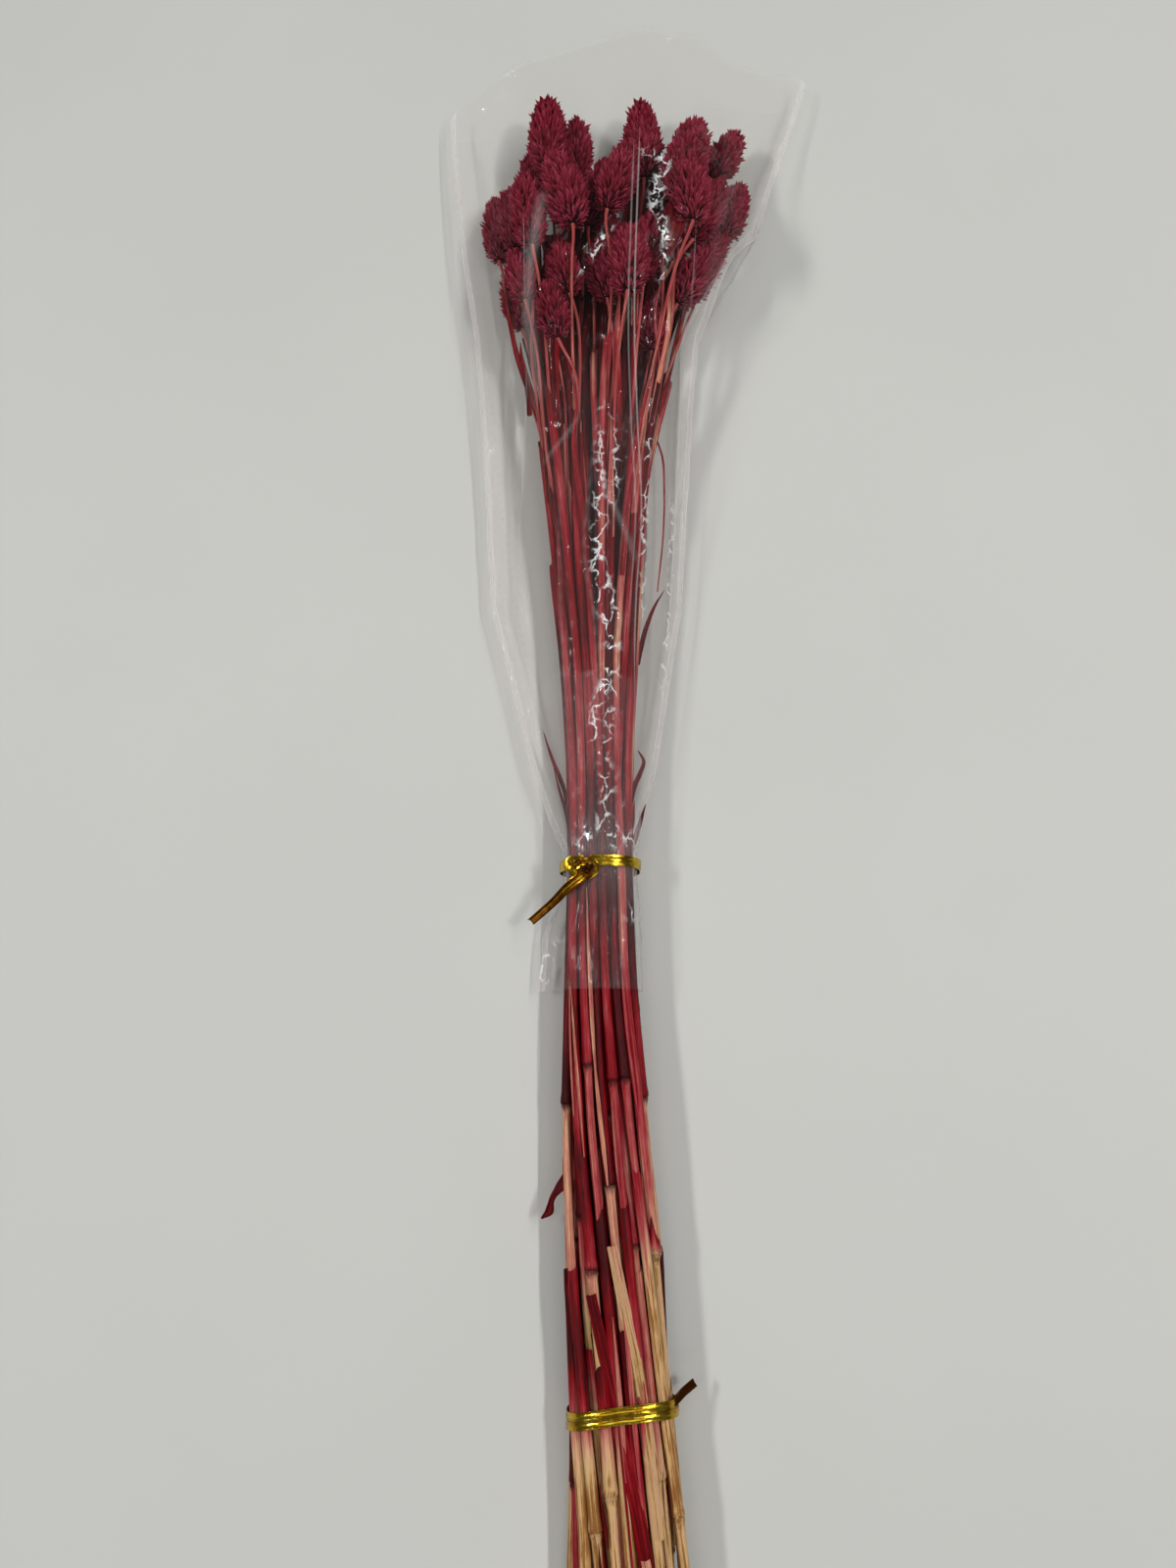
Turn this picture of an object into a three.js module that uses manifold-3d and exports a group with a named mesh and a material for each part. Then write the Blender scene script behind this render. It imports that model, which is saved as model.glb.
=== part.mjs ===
// A bunch of dried, dyed canary grass lying on a surface: flowering stalks held by two foil twist ties,
// with a clear film sleeve round the heads. Millimetres, +Z up, heads towards +Y, origin under the middle
// of the bunch.
import * as THREE from 'three';
import Module from 'manifold-3d';

const wasm = await Module();
wasm.setup();

// Driving dimensions
const HALF_LENGTH = 376; // from the origin to the sleeve's top edge, and to the longest cut end
const GAP = 0.3; // left between neighbouring solids
const STEM_SIDES = 6;
const FOOT_RADIUS = 1.5; // of a head's flat foot
const PEDUNCLE_RADIUS = 0.8; // the bare stem under a head
const SHEATHED_RADIUS = 1.95; // further down, where leaf sheaths wrap it
const JOINT_SWELL = 0.32; // how far a joint of the stem stands out
const JOINT_HALF_LENGTH = 3;
const CUT_END_SPREAD = 34; // how far the shorter stems' cut ends lie from the longest one's
const FILM = 0.6; // thickness of the sleeve
const TIE_WIDTH = 3;
const TIE_THICKNESS = 0.7;
const TIE_PITCH = 3.4; // from one turn of a tie to the next
const UPPER_TIE_Y = -38.6;
const LOWER_TIE_Y = -230;
const SEED = 7;

// Each flower head: its foot, its tip and its girth across the middle
const HEADS = [
  { foot: [-37, 275, 23], tip: [-38, 319, 20], girth: 17 },
  { foot: [-25, 280, 13], tip: [-24, 317, 11], girth: 14.5 },
  { foot: [6, 277, 18], tip: [5, 323, 16], girth: 17 },
  { foot: [-11, 245, 36], tip: [0, 283, 33], girth: 16 },
  { foot: [-19, 251, 18], tip: [-11, 291, 14], girth: 15.5 },
  { foot: [-26, 234, 40], tip: [-35, 274, 37], girth: 18 },
  { foot: [-43, 261, 12], tip: [-46, 299, 10], girth: 14.5 },
  { foot: [-43, 225, 37], tip: [-48, 265, 33], girth: 15 },
  { foot: [-59, 239, 11], tip: [-62, 275, 9], girth: 13.5 },
  { foot: [-51, 235, 22], tip: [-55, 270, 19], girth: 14 },
  { foot: [20, 254, 32], tip: [30, 299, 28], girth: 19 },
  { foot: [37, 279, 15], tip: [51, 306, 14], girth: 15 },
  { foot: [24, 228, 48], tip: [24, 262, 44], girth: 16 },
  { foot: [26, 232, 33], tip: [40, 266, 30], girth: 14.5 },
  { foot: [40, 246, 16], tip: [51, 278, 14], girth: 15 },
  { foot: [22, 205, 27], tip: [45, 243, 23], girth: 15.5 },
  { foot: [-3, 196, 47], tip: [-1, 231, 44], girth: 16.5 },
  { foot: [19, 229, 21], tip: [20, 261, 19], girth: 14.5 },
  { foot: [-27, 206, 33], tip: [-33, 234, 31], girth: 14 },
  { foot: [-46, 203, 30], tip: [-51, 231, 27], girth: 13 },
  { foot: [-32, 180, 38], tip: [-37, 203, 46], girth: 13.5 },
  { foot: [-51, 205, 10], tip: [-58, 238, 9], girth: 13 },
  { foot: [5, 214, 32], tip: [9, 249, 29], girth: 14.5 },
  { foot: [-11, 209, 24], tip: [-15, 241, 21], girth: 15 },
  { foot: [-30, 220, 12], tip: [-34, 254, 11], girth: 14 },
  { foot: [-4, 226, 12], tip: [-6, 261, 11], girth: 14 },
  { foot: [24, 246, 11], tip: [33, 281, 10], girth: 14 },
  { foot: [8, 190, 15], tip: [12, 223, 12], girth: 14 },
];

// Room for the stalks: along Y, the left and right edges, and the lowest and highest that one may lie.
// Where it is round, the upper corners are cut as a drawn tie cuts them.
const ROOM = [
  { y: -376, left: -30, right: 24, low: 0, high: 22, round: 1 },
  { y: -280, left: -27, right: 17.5, low: 0.5, high: 21, round: 1 },
  { y: -230, left: -26, right: 10.5, low: 1.1, high: 21.5, round: 1 },
  { y: -175, left: -29.5, right: 7.5, low: 1, high: 22, round: 1 },
  { y: -96, left: -30, right: 0.7, low: 1.1, high: 22, round: 1 },
  { y: -38.6, left: -27.6, right: -1.4, low: 2, high: 22.5, round: 1 },
  { y: 17, left: -28.6, right: -0.4, low: 1.1, high: 23, round: 1 },
  { y: 45, left: -32.2, right: 2, low: 1.1, high: 24, round: 1 },
  { y: 79, left: -35, right: 3.5, low: 1.1, high: 27, round: 1 },
  { y: 124, left: -38, right: 6, low: 1.1, high: 32, round: 1 },
  { y: 161, left: -42, right: 13, low: 1.1, high: 40, round: 1 },
  { y: 198, left: -61, right: 26, low: 1.1, high: 54, round: 0 },
  { y: 225, left: -67, right: 41, low: 2, high: 56, round: 0 },
  { y: 250, left: -71, right: 51, low: 3, high: 56, round: 0 },
  { y: 340, left: -76, right: 78, low: 4, high: 46, round: 0 },
];

// Where the stems are given rings, common to all of them so that neighbours bend alike
const STATIONS = [
  -376, -330, -280, -230, -180, -130, -84, -38.6, 0, 40, 80, 120, 150, 175, 198, 218, 236, 254, 270,
];

// Dried leaf ends still on the outermost stems: where they spring, on which side, and a path of steps
// along Y and outwards, with its height off the surface where that isn't the stem's own
const LEAF_ENDS = [
  { y: 172, side: -1, width: 3.2, path: [[5, 3.5], [13, 5, 15], [19, 5.5, 16]] },
  { y: 146, side: 1, width: 1.6, path: [[-4, 3.5], [-10, 6, 13], [-40, 6, 11], [-66, 5, 10]] },
  { y: 50, side: 1, width: 2.4, path: [[7, 4], [18, 6.5, 10], [28, 9, 10]] },
  { y: -6, side: 1, width: 2, path: [[5, 3.5], [11, 5, 11], [15, 4.5, 11]] },
  { y: -8, side: -1, width: 1.8, path: [[6, 4], [15, 7.5, 9], [26, 11, 9.5]] },
  { y: -148, side: -1, width: 3.4, path: [[-5, 4], [-11, 5.5, 8], [-16, 7, 7], [-21, 9.5, 6]] },
];

// The sleeve: along Y, its welded edges left and right, their height, how wide the weld is, how far its
// underside is lifted off the surface, and how loosely it lies round the stalks
const SLEEVE = [
  { y: -86.4, left: -38.6, right: 1.8, seam: 6, weld: 1.5, lift: 0, slack: 0.8 },
  { y: -66, left: -37.1, right: 1.4, seam: 6.5, weld: 1.5, lift: 0, slack: 1.2 },
  { y: -54, left: -33.5, right: 0.8, seam: 6, weld: 1, lift: 0.5, slack: 1.4 },
  { y: UPPER_TIE_Y, left: -28.8, right: -0.2, seam: 5, weld: 0.6, lift: 1, slack: 0.7 },
  { y: -25, left: -32.5, right: 1.4, seam: 5.5, weld: 1, lift: 0.6, slack: 2 },
  { y: -16, left: -36, right: 3.5, seam: 7, weld: 1.5, lift: 0.3, slack: 1.6 },
  { y: 0, left: -41.5, right: 8, seam: 8.5, weld: 2, lift: 0, slack: 1.2 },
  { y: 72, left: -60, right: 20.1, seam: 8, weld: 2.5, lift: 0, slack: 0.8 },
  { y: 135, left: -64, right: 24.3, seam: 9, weld: 2.5, lift: 0, slack: 0.8 },
  { y: 172, left: -67, right: 27, seam: 10, weld: 2.5, lift: 0, slack: 0.8 },
  { y: 196, left: -69.4, right: 29.6, seam: 11, weld: 2, lift: 0, slack: 0.8 },
  { y: 211, left: -71.5, right: 36.5, seam: 11.5, weld: 2, lift: 0, slack: 0.8 },
  { y: 226, left: -74, right: 44, seam: 12, weld: 2, lift: 0, slack: 1.8 },
  { y: 250, left: -77.2, right: 53.5, seam: 12, weld: 2.5, lift: 0, slack: 1.4 },
  { y: 285, left: -81.4, right: 68, seam: 11, weld: 2.5, lift: 0, slack: 0.8 },
  { y: 315, left: -84, right: 77.5, seam: 9.5, weld: 2.5, lift: 0.5, slack: 0.8 },
  { y: 337, left: -84, right: 84, seam: 9, weld: 2.5, lift: 1.5, slack: 0.8 },
  { y: 376, left: -84, right: 84, seam: 8, weld: 2.5, lift: 4, slack: 0.8 },
];
const NECK_LENGTH = 12.6; // of the sleeve's straight stretch under the upper tie
const MOUTH_FROM = 250; // above this Y the sleeve's rings follow its slanting mouth
const LEFT_CORNER_Y = 315;
const RIGHT_CORNER_Y = 337;
const FRONT_DIP = 52; // how far the front sheet's edge falls below its corners

const { lerp, smoothstep, clamp, degToRad } = THREE.MathUtils;
const UP = new THREE.Vector3(0, 0, 1);
const RIGHT = new THREE.Vector3(1, 0, 0);
const ALONG = new THREE.Vector3(0, 1, 0);

// Small repeatable random numbers, from 0 to 1
function draws(seed) {
  let state = seed >>> 0;
  return () => {
    state = (Math.imul(state, 1664525) + 1013904223) >>> 0;
    return state / 4294967296;
  };
}

// The row of a table that runs along Y, worked out at y
function rowAt(rows, y) {
  let k = 0;
  while (k < rows.length - 2 && rows[k + 1].y < y) k++;
  const a = rows[k];
  const b = rows[k + 1];
  const t = clamp((y - a.y) / (b.y - a.y), 0, 1);
  return Object.fromEntries(Object.keys(a).map((key) => [key, lerp(a[key], b[key], t)]));
}

// One stalk: its head as a rigid axis, the thickness of its stem, its joints and its cut end
function makeStalk(head, random) {
  const BARE_BELOW_HEAD = 9;
  const foot = new THREE.Vector3(...head.foot);
  const tip = new THREE.Vector3(...head.tip);
  const axis = tip.clone().sub(foot);
  const length = axis.length();
  axis.normalize();
  return {
    foot,
    home: foot.clone(),
    axis,
    length,
    girth: head.girth,
    sheathTop: foot.y - lerp(70, 250, random()),
    girthShare: lerp(0.88, 1.12, random()),
    cutEnd: -HALF_LENGTH + CUT_END_SPREAD * random() ** 1.5,
    joints: [lerp(-330, -250, random()), lerp(-190, -80, random())],
    wave: {
      phase: 2 * Math.PI * random(),
      length: lerp(30, 60, random()),
      reach: lerp(0.5, 2.5, random()),
    },
    last: STATIONS.filter((y) => y < foot.y - BARE_BELOW_HEAD).length - 1,
    knots: [],
  };
}

// Radius of a stalk's stem at y
function stemRadius(stalk, y) {
  const BARE_RADIUS = 1.15; // of the bare stem where it leaves the sheath
  const SHEATH_END = 12; // half of the stretch over which the sheath runs out
  const slim = lerp(BARE_RADIUS, PEDUNCLE_RADIUS, smoothstep(y, stalk.foot.y - 150, stalk.foot.y - 20));
  const stout = lerp(SHEATHED_RADIUS + 0.15, SHEATHED_RADIUS - 0.25, smoothstep(y, -HALF_LENGTH, 150));
  const bare = smoothstep(y, stalk.sheathTop - SHEATH_END, stalk.sheathTop + SHEATH_END);
  return stalk.girthShare * lerp(stout, slim, bare);
}

// Share of the full girth that a head has at a share t of its length
function headProfile(t) {
  return Math.sin(Math.PI * clamp(t, 0.001, 0.999) ** 0.74) ** 0.5;
}

// The same with the scales, which lean past the girth where it shrinks towards the tip
function headReach(t) {
  const WIDEST = 0.42;
  const LEAN = 0.1;
  return headProfile(t < WIDEST ? t : Math.max(t - LEAN, WIDEST));
}

// The two points that the stem's centre at y lies between, and the weight of the upper one
function stretchAt(stalk, y) {
  let k = 0;
  while (k < stalk.last && STATIONS[k + 1] <= y) k++;
  const top = k === stalk.last;
  const upperY = top ? stalk.foot.y : STATIONS[k + 1];
  const upper = top ? stalk.foot : stalk.knots[k + 1];
  return { lower: stalk.knots[k], upper, weight: (y - STATIONS[k]) / (upperY - STATIONS[k]), top };
}

function stemCentre(stalk, y) {
  const { lower, upper, weight } = stretchAt(stalk, y);
  return new THREE.Vector3(lerp(lower.x, upper.x, weight), y, lerp(lower.z, upper.z, weight));
}

// The round that a stalk makes in the plane at y: of its stem, or of its head if y is up there
function discAt(stalk, y) {
  if (y > stalk.foot.y) {
    const along = (y - stalk.foot.y) / stalk.axis.y;
    const share = along / stalk.length;
    if (share > 1) return null;
    const x = stalk.foot.x + stalk.axis.x * along;
    const z = stalk.foot.z + stalk.axis.z * along;
    const r = Math.max((stalk.girth / 2) * headReach(share), FOOT_RADIUS) / stalk.axis.y;
    return { x, z, r, stalk, head: true };
  }
  const NEAR_JOINT = 12;
  const { x, z } = stemCentre(stalk, y);
  const swell = stalk.joints.some((joint) => Math.abs(joint - y) < NEAR_JOINT) ? JOINT_SWELL : 0;
  return { x, z, r: stemRadius(stalk, y) + swell, stalk, ...stretchAt(stalk, y) };
}

// Moves a disc in its plane, and with it the head or the stretch of stem that it belongs to
function push(disc, dx, dz) {
  const HEAD_GIVES_SIDEWAYS = 0.25;
  const HEAD_GIVES_UPWARDS = 0.5;
  if (disc.head) {
    disc.stalk.foot.x += dx * HEAD_GIVES_SIDEWAYS;
    disc.stalk.foot.z += dz * HEAD_GIVES_UPWARDS;
    return;
  }
  const w = disc.weight;
  const share = 1 / ((1 - w) ** 2 + w ** 2);
  disc.lower.x += dx * (1 - w) * share;
  disc.lower.z += dz * (1 - w) * share;
  if (disc.top) return;
  disc.upper.x += dx * w * share;
  disc.upper.z += dz * w * share;
}

// Parts two discs that are closer than the gap
function part(a, b) {
  const SPARE = 1.3; // share of the gap that is aimed for
  const dx = b.x - a.x;
  const dz = b.z - a.z;
  const apart = Math.hypot(dx, dz) || 1e-6;
  const short = a.r + b.r + GAP * SPARE - apart;
  if (short <= 0) return 0;
  const step = (short / apart) * 0.5;
  push(a, -dx * step, -dz * step);
  push(b, dx * step, dz * step);
  return short;
}

// Keeps a disc inside the room at y
function contain(disc, y) {
  const ROUNDING = 2.6;
  const room = rowAt(ROOM, y);
  const outX = Math.max(room.left + disc.r - disc.x, 0) - Math.max(disc.x + disc.r - room.right, 0);
  const outZ = Math.max(room.low + disc.r - disc.z, 0) - Math.max(disc.z + disc.r - room.high, 0);
  if (outX || outZ) push(disc, outX, outZ);
  const middleX = (room.left + room.right) / 2;
  const middleZ = (room.low + room.high) / 2;
  const across = (disc.x - middleX) / ((room.right - room.left) / 2 - disc.r);
  const up = (disc.z - middleZ) / ((room.high - room.low) / 2 - disc.r);
  const reach = (Math.abs(across) ** ROUNDING + Math.abs(up) ** ROUNDING) ** (1 / ROUNDING);
  if (room.round < 0.5 || reach < 1 || up < 0) return;
  push(disc, (middleX - disc.x) * (1 - 1 / reach), (middleZ - disc.z) * (1 - 1 / reach));
}

// Draws a stem's knots towards a smooth line
function straighten(stalk, strength) {
  for (let k = 1; k <= stalk.last; k++) {
    const before = stalk.knots[k - 1];
    const top = k === stalk.last;
    const after = top ? stalk.foot : stalk.knots[k + 1];
    const afterY = top ? stalk.foot.y : STATIONS[k + 1];
    const t = (STATIONS[k] - STATIONS[k - 1]) / (afterY - STATIONS[k - 1]);
    stalk.knots[k].x += strength * (lerp(before.x, after.x, t) - stalk.knots[k].x);
    stalk.knots[k].z += strength * (lerp(before.z, after.z, t) - stalk.knots[k].z);
  }
}

// Settles the stalks beside each other, as they lie when the ties are drawn tight
function settle(stalks, { rounds, smoothing, homing }) {
  const PROBE_STEP = 6;
  const HOMING_UPWARDS = 0.2;
  for (let round = 0; round < rounds; round++) {
    const easing = 1 - round / rounds;
    for (const stalk of stalks) {
      if (smoothing) straighten(stalk, smoothing * easing);
      stalk.foot.x += (stalk.home.x - stalk.foot.x) * homing * easing;
      stalk.foot.z += (stalk.home.z - stalk.foot.z) * homing * easing * HOMING_UPWARDS;
    }
    for (let y = -HALF_LENGTH; y < HALF_LENGTH; y += PROBE_STEP) {
      const discs = stalks.map((stalk) => discAt(stalk, y)).filter(Boolean);
      discs.forEach((disc) => contain(disc, y));
      discs.forEach((disc, i) => discs.slice(i + 1).forEach((other) => part(disc, other)));
    }
  }
}

// Packs the stems side by side in the neck of the bunch, each below its own head
function packNeck(stalks, neck, middle, random) {
  const ROUNDS = 400;
  const FAN = { x: -8, z: 24 }; // the middle of the heads
  const spots = stalks.map((stalk) => ({
    x: middle.x + (stalk.foot.x - FAN.x) * 0.2 + lerp(-3, 3, random()),
    z: middle.z + (stalk.foot.z - FAN.z) * 0.4 + lerp(-2, 2, random()),
    r: SHEATHED_RADIUS,
  }));
  for (let round = 0; round < ROUNDS; round++) {
    spots.forEach((a, i) => {
      for (const b of spots.slice(i + 1)) {
        const apart = Math.hypot(b.x - a.x, b.z - a.z) || 1e-6;
        const share = Math.max(a.r + b.r + GAP - apart, 0) / apart / 2;
        const dx = (b.x - a.x) * share;
        const dz = (b.z - a.z) * share;
        a.x -= dx;
        a.z -= dz;
        b.x += dx;
        b.z += dz;
      }
    });
    for (const spot of spots) {
      spot.x = clamp(spot.x, neck.left + spot.r, neck.right - spot.r);
      spot.z = clamp(spot.z, neck.low + spot.r, neck.high - spot.r);
    }
  }
  return spots;
}

// The stalks in their places: fanned out above the neck, gently twisted and spread below it
function layOut() {
  const NECK_Y = -20;
  const TWIST = degToRad(75);
  const WAVIER_ABOVE = 1.4;
  const random = draws(SEED);
  const stalks = HEADS.map((head) => makeStalk(head, random));
  const neck = rowAt(ROOM, NECK_Y);
  const middle = { x: (neck.left + neck.right) / 2, z: (neck.low + neck.high) / 2 };
  const spots = packNeck(stalks, neck, middle, random);
  stalks.forEach((stalk, i) => {
    const spot = spots[i];
    const across = (spot.x - middle.x) / (neck.right - neck.left);
    const up = (spot.z - middle.z) / (neck.high - neck.low);
    const bendLength = lerp(24, 44, random());
    for (const y of STATIONS.slice(0, stalk.last + 1)) {
      const room = rowAt(ROOM, y);
      const wave = stalk.wave.reach * Math.sin(stalk.wave.phase + y / stalk.wave.length);
      if (y < NECK_Y) {
        const turn = (TWIST * (NECK_Y - y)) / (HALF_LENGTH + NECK_Y);
        const a = across * Math.cos(turn) + up * Math.sin(turn);
        const b = up * Math.cos(turn) - across * Math.sin(turn);
        const x = lerp(room.left, room.right, 0.5 + a) + wave;
        stalk.knots.push({ x, z: lerp(room.low, room.high, 0.5 + b) });
        continue;
      }
      const t = (y - NECK_Y) / (stalk.foot.y - NECK_Y);
      const below = (stalk.foot.y - y) / bendLength;
      const bend = -bendLength * below * Math.exp(-below);
      const turnX = stalk.axis.x / stalk.axis.y - (stalk.foot.x - spot.x) / (stalk.foot.y - NECK_Y);
      const turnZ = stalk.axis.z / stalk.axis.y - (stalk.foot.z - spot.z) / (stalk.foot.y - NECK_Y);
      const x = lerp(spot.x, stalk.foot.x, t) + turnX * bend + wave * WAVIER_ABOVE * (1 - t);
      const z = Math.max(lerp(spot.z, stalk.foot.z, t) + turnZ * bend, room.low + 1);
      stalk.knots.push({ x, z });
    }
  });
  settle(stalks, { rounds: 300, smoothing: 0.08, homing: 0.06 });
  settle(stalks, { rounds: 500, smoothing: 0, homing: 0 });
  return stalks;
}

// A closed solid through rings of equally many points, each ring turning right-handedly about the way on
function loft(rings) {
  const sides = rings[0].length;
  const index = [];
  for (let k = 0; k + 1 < rings.length; k++)
    for (let i = 0; i < sides; i++) {
      const j = (i + 1) % sides;
      const a = k * sides;
      const b = a + sides;
      index.push(a + i, a + j, b + j, a + i, b + j, b + i);
    }
  const end = (rings.length - 1) * sides;
  for (let i = 1; i + 1 < sides; i++) index.push(0, i + 1, i, end, end + i, end + i + 1);
  return new THREE.BufferGeometry().setFromPoints(rings.flat()).setIndex(index);
}

// A tube with a wall: outer and inner rings alike in number, open at both ends
function sleeveLoft(outer, inner) {
  const sides = outer[0].length;
  const count = outer.length;
  const index = [];
  const at = (k, i) => k * sides + (i % sides);
  const offset = count * sides;
  for (let i = 0; i < sides; i++) {
    for (let k = 0; k + 1 < count; k++) {
      const [a, b, c, d] = [at(k, i), at(k, i + 1), at(k + 1, i + 1), at(k + 1, i)];
      index.push(a, b, c, a, c, d);
      index.push(a + offset, c + offset, b + offset, a + offset, d + offset, c + offset);
    }
    const [a, b] = [at(0, i), at(0, i + 1)];
    index.push(b, a, a + offset, b, a + offset, b + offset);
    const [c, d] = [at(count - 1, i), at(count - 1, i + 1)];
    index.push(c, d, d + offset, c, d + offset, c + offset);
  }
  return new THREE.BufferGeometry().setFromPoints([...outer, ...inner].flat()).setIndex(index);
}

// A regular ring of points round centre, in the plane of the unit vectors u and w
function ringOf(centre, radius, sides, u, w, phase = 0) {
  return Array.from({ length: sides }, (_, i) => {
    const angle = ((i + phase) / sides) * 2 * Math.PI;
    return centre
      .clone()
      .addScaledVector(u, radius * Math.cos(angle))
      .addScaledVector(w, radius * Math.sin(angle));
  });
}

// An oblong ring of points round centre: thick along n, wide along w
function oblong(centre, n, thickness, w, width) {
  const corners = [[-1, -1], [1, -1], [1, 1], [-1, 1]];
  return corners.map(([a, b]) =>
    centre.clone().addScaledVector(n, (a * thickness) / 2).addScaledVector(w, (b * width) / 2),
  );
}

// Several closed geometries joined into one
function fuse(geometries) {
  const solids = geometries.map((geometry) => {
    const vertProperties = new Float32Array(geometry.attributes.position.array);
    const triVerts = new Uint32Array(geometry.index.array);
    return new wasm.Manifold(new wasm.Mesh({ numProp: 3, vertProperties, triVerts }));
  });
  const mesh = solids.reduce((whole, solid) => whole.add(solid)).getMesh();
  const geometry = new THREE.BufferGeometry();
  geometry.setAttribute('position', new THREE.BufferAttribute(new Float32Array(mesh.vertProperties), 3));
  return geometry.setIndex([...mesh.triVerts]);
}

// A thin blade that springs from a stem's middle and ends in a point
function leafEnd(stalk, leaf) {
  const TAPER = [0.7, 1, 1, 0.75, 0.5]; // its width from point to point
  const POINT = 0.35; // the last point's own share of that
  const UPRIGHT = 0.9; // how far it stands on edge
  const root = stemCentre(stalk, leaf.y);
  const points = [[0, 0], ...leaf.path].map(
    ([along, out, z = root.z]) => new THREE.Vector3(root.x + leaf.side * out, root.y + along, z),
  );
  const rings = points.map((point, k) => {
    const before = points[Math.max(k - 1, 0)];
    const after = points[Math.min(k + 1, points.length - 1)];
    const way = after.clone().sub(before).normalize();
    const wide = new THREE.Vector3(leaf.side, 0, UPRIGHT);
    wide.addScaledVector(way, -wide.dot(way)).normalize();
    const flat = new THREE.Vector3().crossVectors(wide, way);
    const taper = TAPER[k] * (k === points.length - 1 ? POINT : 1);
    return oblong(point, flat, FILM, wide, leaf.width * taper);
  });
  return loft(rings);
}

function stemSolid(stalk, leaves) {
  const CLEAR_OF_END = 8;
  const spots = STATIONS.slice(0, stalk.last + 1)
    .filter((y) => y > stalk.cutEnd + CLEAR_OF_END)
    .map((y) => ({ y, swell: 0 }));
  for (const joint of stalk.joints)
    for (const side of [-1, 0, 1])
      spots.push({ y: joint + side * JOINT_HALF_LENGTH, swell: side ? 0 : JOINT_SWELL });
  spots.push({ y: stalk.cutEnd, swell: 0 });
  spots.sort((a, b) => a.y - b.y);
  const rings = spots.map(({ y, swell }) =>
    ringOf(stemCentre(stalk, y), stemRadius(stalk, y) + swell, STEM_SIDES, UP, RIGHT),
  );
  const w = new THREE.Vector3().crossVectors(stalk.axis, UP).normalize();
  const u = new THREE.Vector3().crossVectors(w, stalk.axis);
  const top = stalk.foot.clone().addScaledVector(stalk.axis, -GAP);
  rings.push(ringOf(top, PEDUNCLE_RADIUS * stalk.girthShare, STEM_SIDES, u, w));
  return leaves.length ? fuse([loft(rings), ...leaves.map((leaf) => leafEnd(stalk, leaf))]) : loft(rings);
}

// A head: diamonds laid in staggered rows round a spindle, each raised to a pointed scale that leans
// to the tip
function headSolid(stalk) {
  const COLUMNS = 8;
  const ROWS = 8;
  const LIFT = 1.5;
  const OVERHANG = 1.7;
  const TOP_SHARE = 0.93;
  const { foot, axis, length, girth } = stalk;
  const w = new THREE.Vector3().crossVectors(axis, UP).normalize();
  const u = new THREE.Vector3().crossVectors(w, axis);
  const shareAt = (k) => TOP_SHARE * (k / ROWS);
  const radiusAt = (t) => Math.max((girth / 2 - LIFT) * headProfile(t), FOOT_RADIUS);
  const along = (distance) => foot.clone().addScaledVector(axis, distance);
  const points = [];
  for (let k = 0; k <= ROWS; k++) {
    const radius = k === 0 ? FOOT_RADIUS : radiusAt(shareAt(k));
    points.push(...ringOf(along(shareAt(k) * length), radius, COLUMNS, u, w, k % 2 ? 0.5 : 0));
  }
  const at = (k, i) => k * COLUMNS + ((i + COLUMNS) % COLUMNS);
  const index = [];
  for (let k = 1; k < ROWS; k++)
    for (let i = 0; i < COLUMNS; i++) {
      const between = k % 2 ? i + 1 : i;
      const angle = ((i + (k % 2 ? 1 : 0.5)) / COLUMNS) * 2 * Math.PI;
      const out = radiusAt(shareAt(k + 0.6)) + LIFT;
      const apex = points.length;
      points.push(
        along(shareAt(k + 1) * length + OVERHANG * (1 - 0.5 * (k / ROWS)))
          .addScaledVector(u, out * Math.cos(angle))
          .addScaledVector(w, out * Math.sin(angle)),
      );
      const [low, high, near, far] = [at(k - 1, between), at(k + 1, between), at(k, i), at(k, i + 1)];
      index.push(low, far, apex, far, high, apex, high, near, apex, near, low, apex);
    }
  const pole = points.length;
  points.push(along(length));
  for (let i = 0; i < COLUMNS; i++) {
    index.push(at(0, i), at(0, i + 1), at(1, i));
    index.push(at(ROWS, i), at(ROWS - 1, i), at(ROWS, i + 1));
    index.push(at(ROWS, i), at(ROWS, i + 1), pole);
    if (i > 0 && i + 1 < COLUMNS) index.push(at(0, 0), at(0, i + 1), at(0, i));
  }
  return new THREE.BufferGeometry().setFromPoints(points).setIndex(index);
}

// The discs of all stalks between two places along Y
function discsWithin(stalks, from, to) {
  const STEP = 2.5;
  const discs = [];
  for (let y = from; y <= to + 0.01; y += STEP)
    discs.push(...stalks.map((stalk) => discAt(stalk, y)).filter(Boolean));
  return discs;
}

// An even-angled outline drawn tight round a set of discs, with clearance: its corner after an angle
function tightCorner(discs, angle, step, clearance) {
  const farthest = (a) => Math.max(...discs.map((d) => d.x * Math.cos(a) + d.z * Math.sin(a) + d.r));
  const reach = (a) => clearance + farthest(a);
  const here = reach(angle);
  const next = (reach(angle + step) - here * Math.cos(step)) / Math.sin(step);
  return {
    x: here * Math.cos(angle) - next * Math.sin(angle),
    z: here * Math.sin(angle) + next * Math.cos(angle),
  };
}

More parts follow.
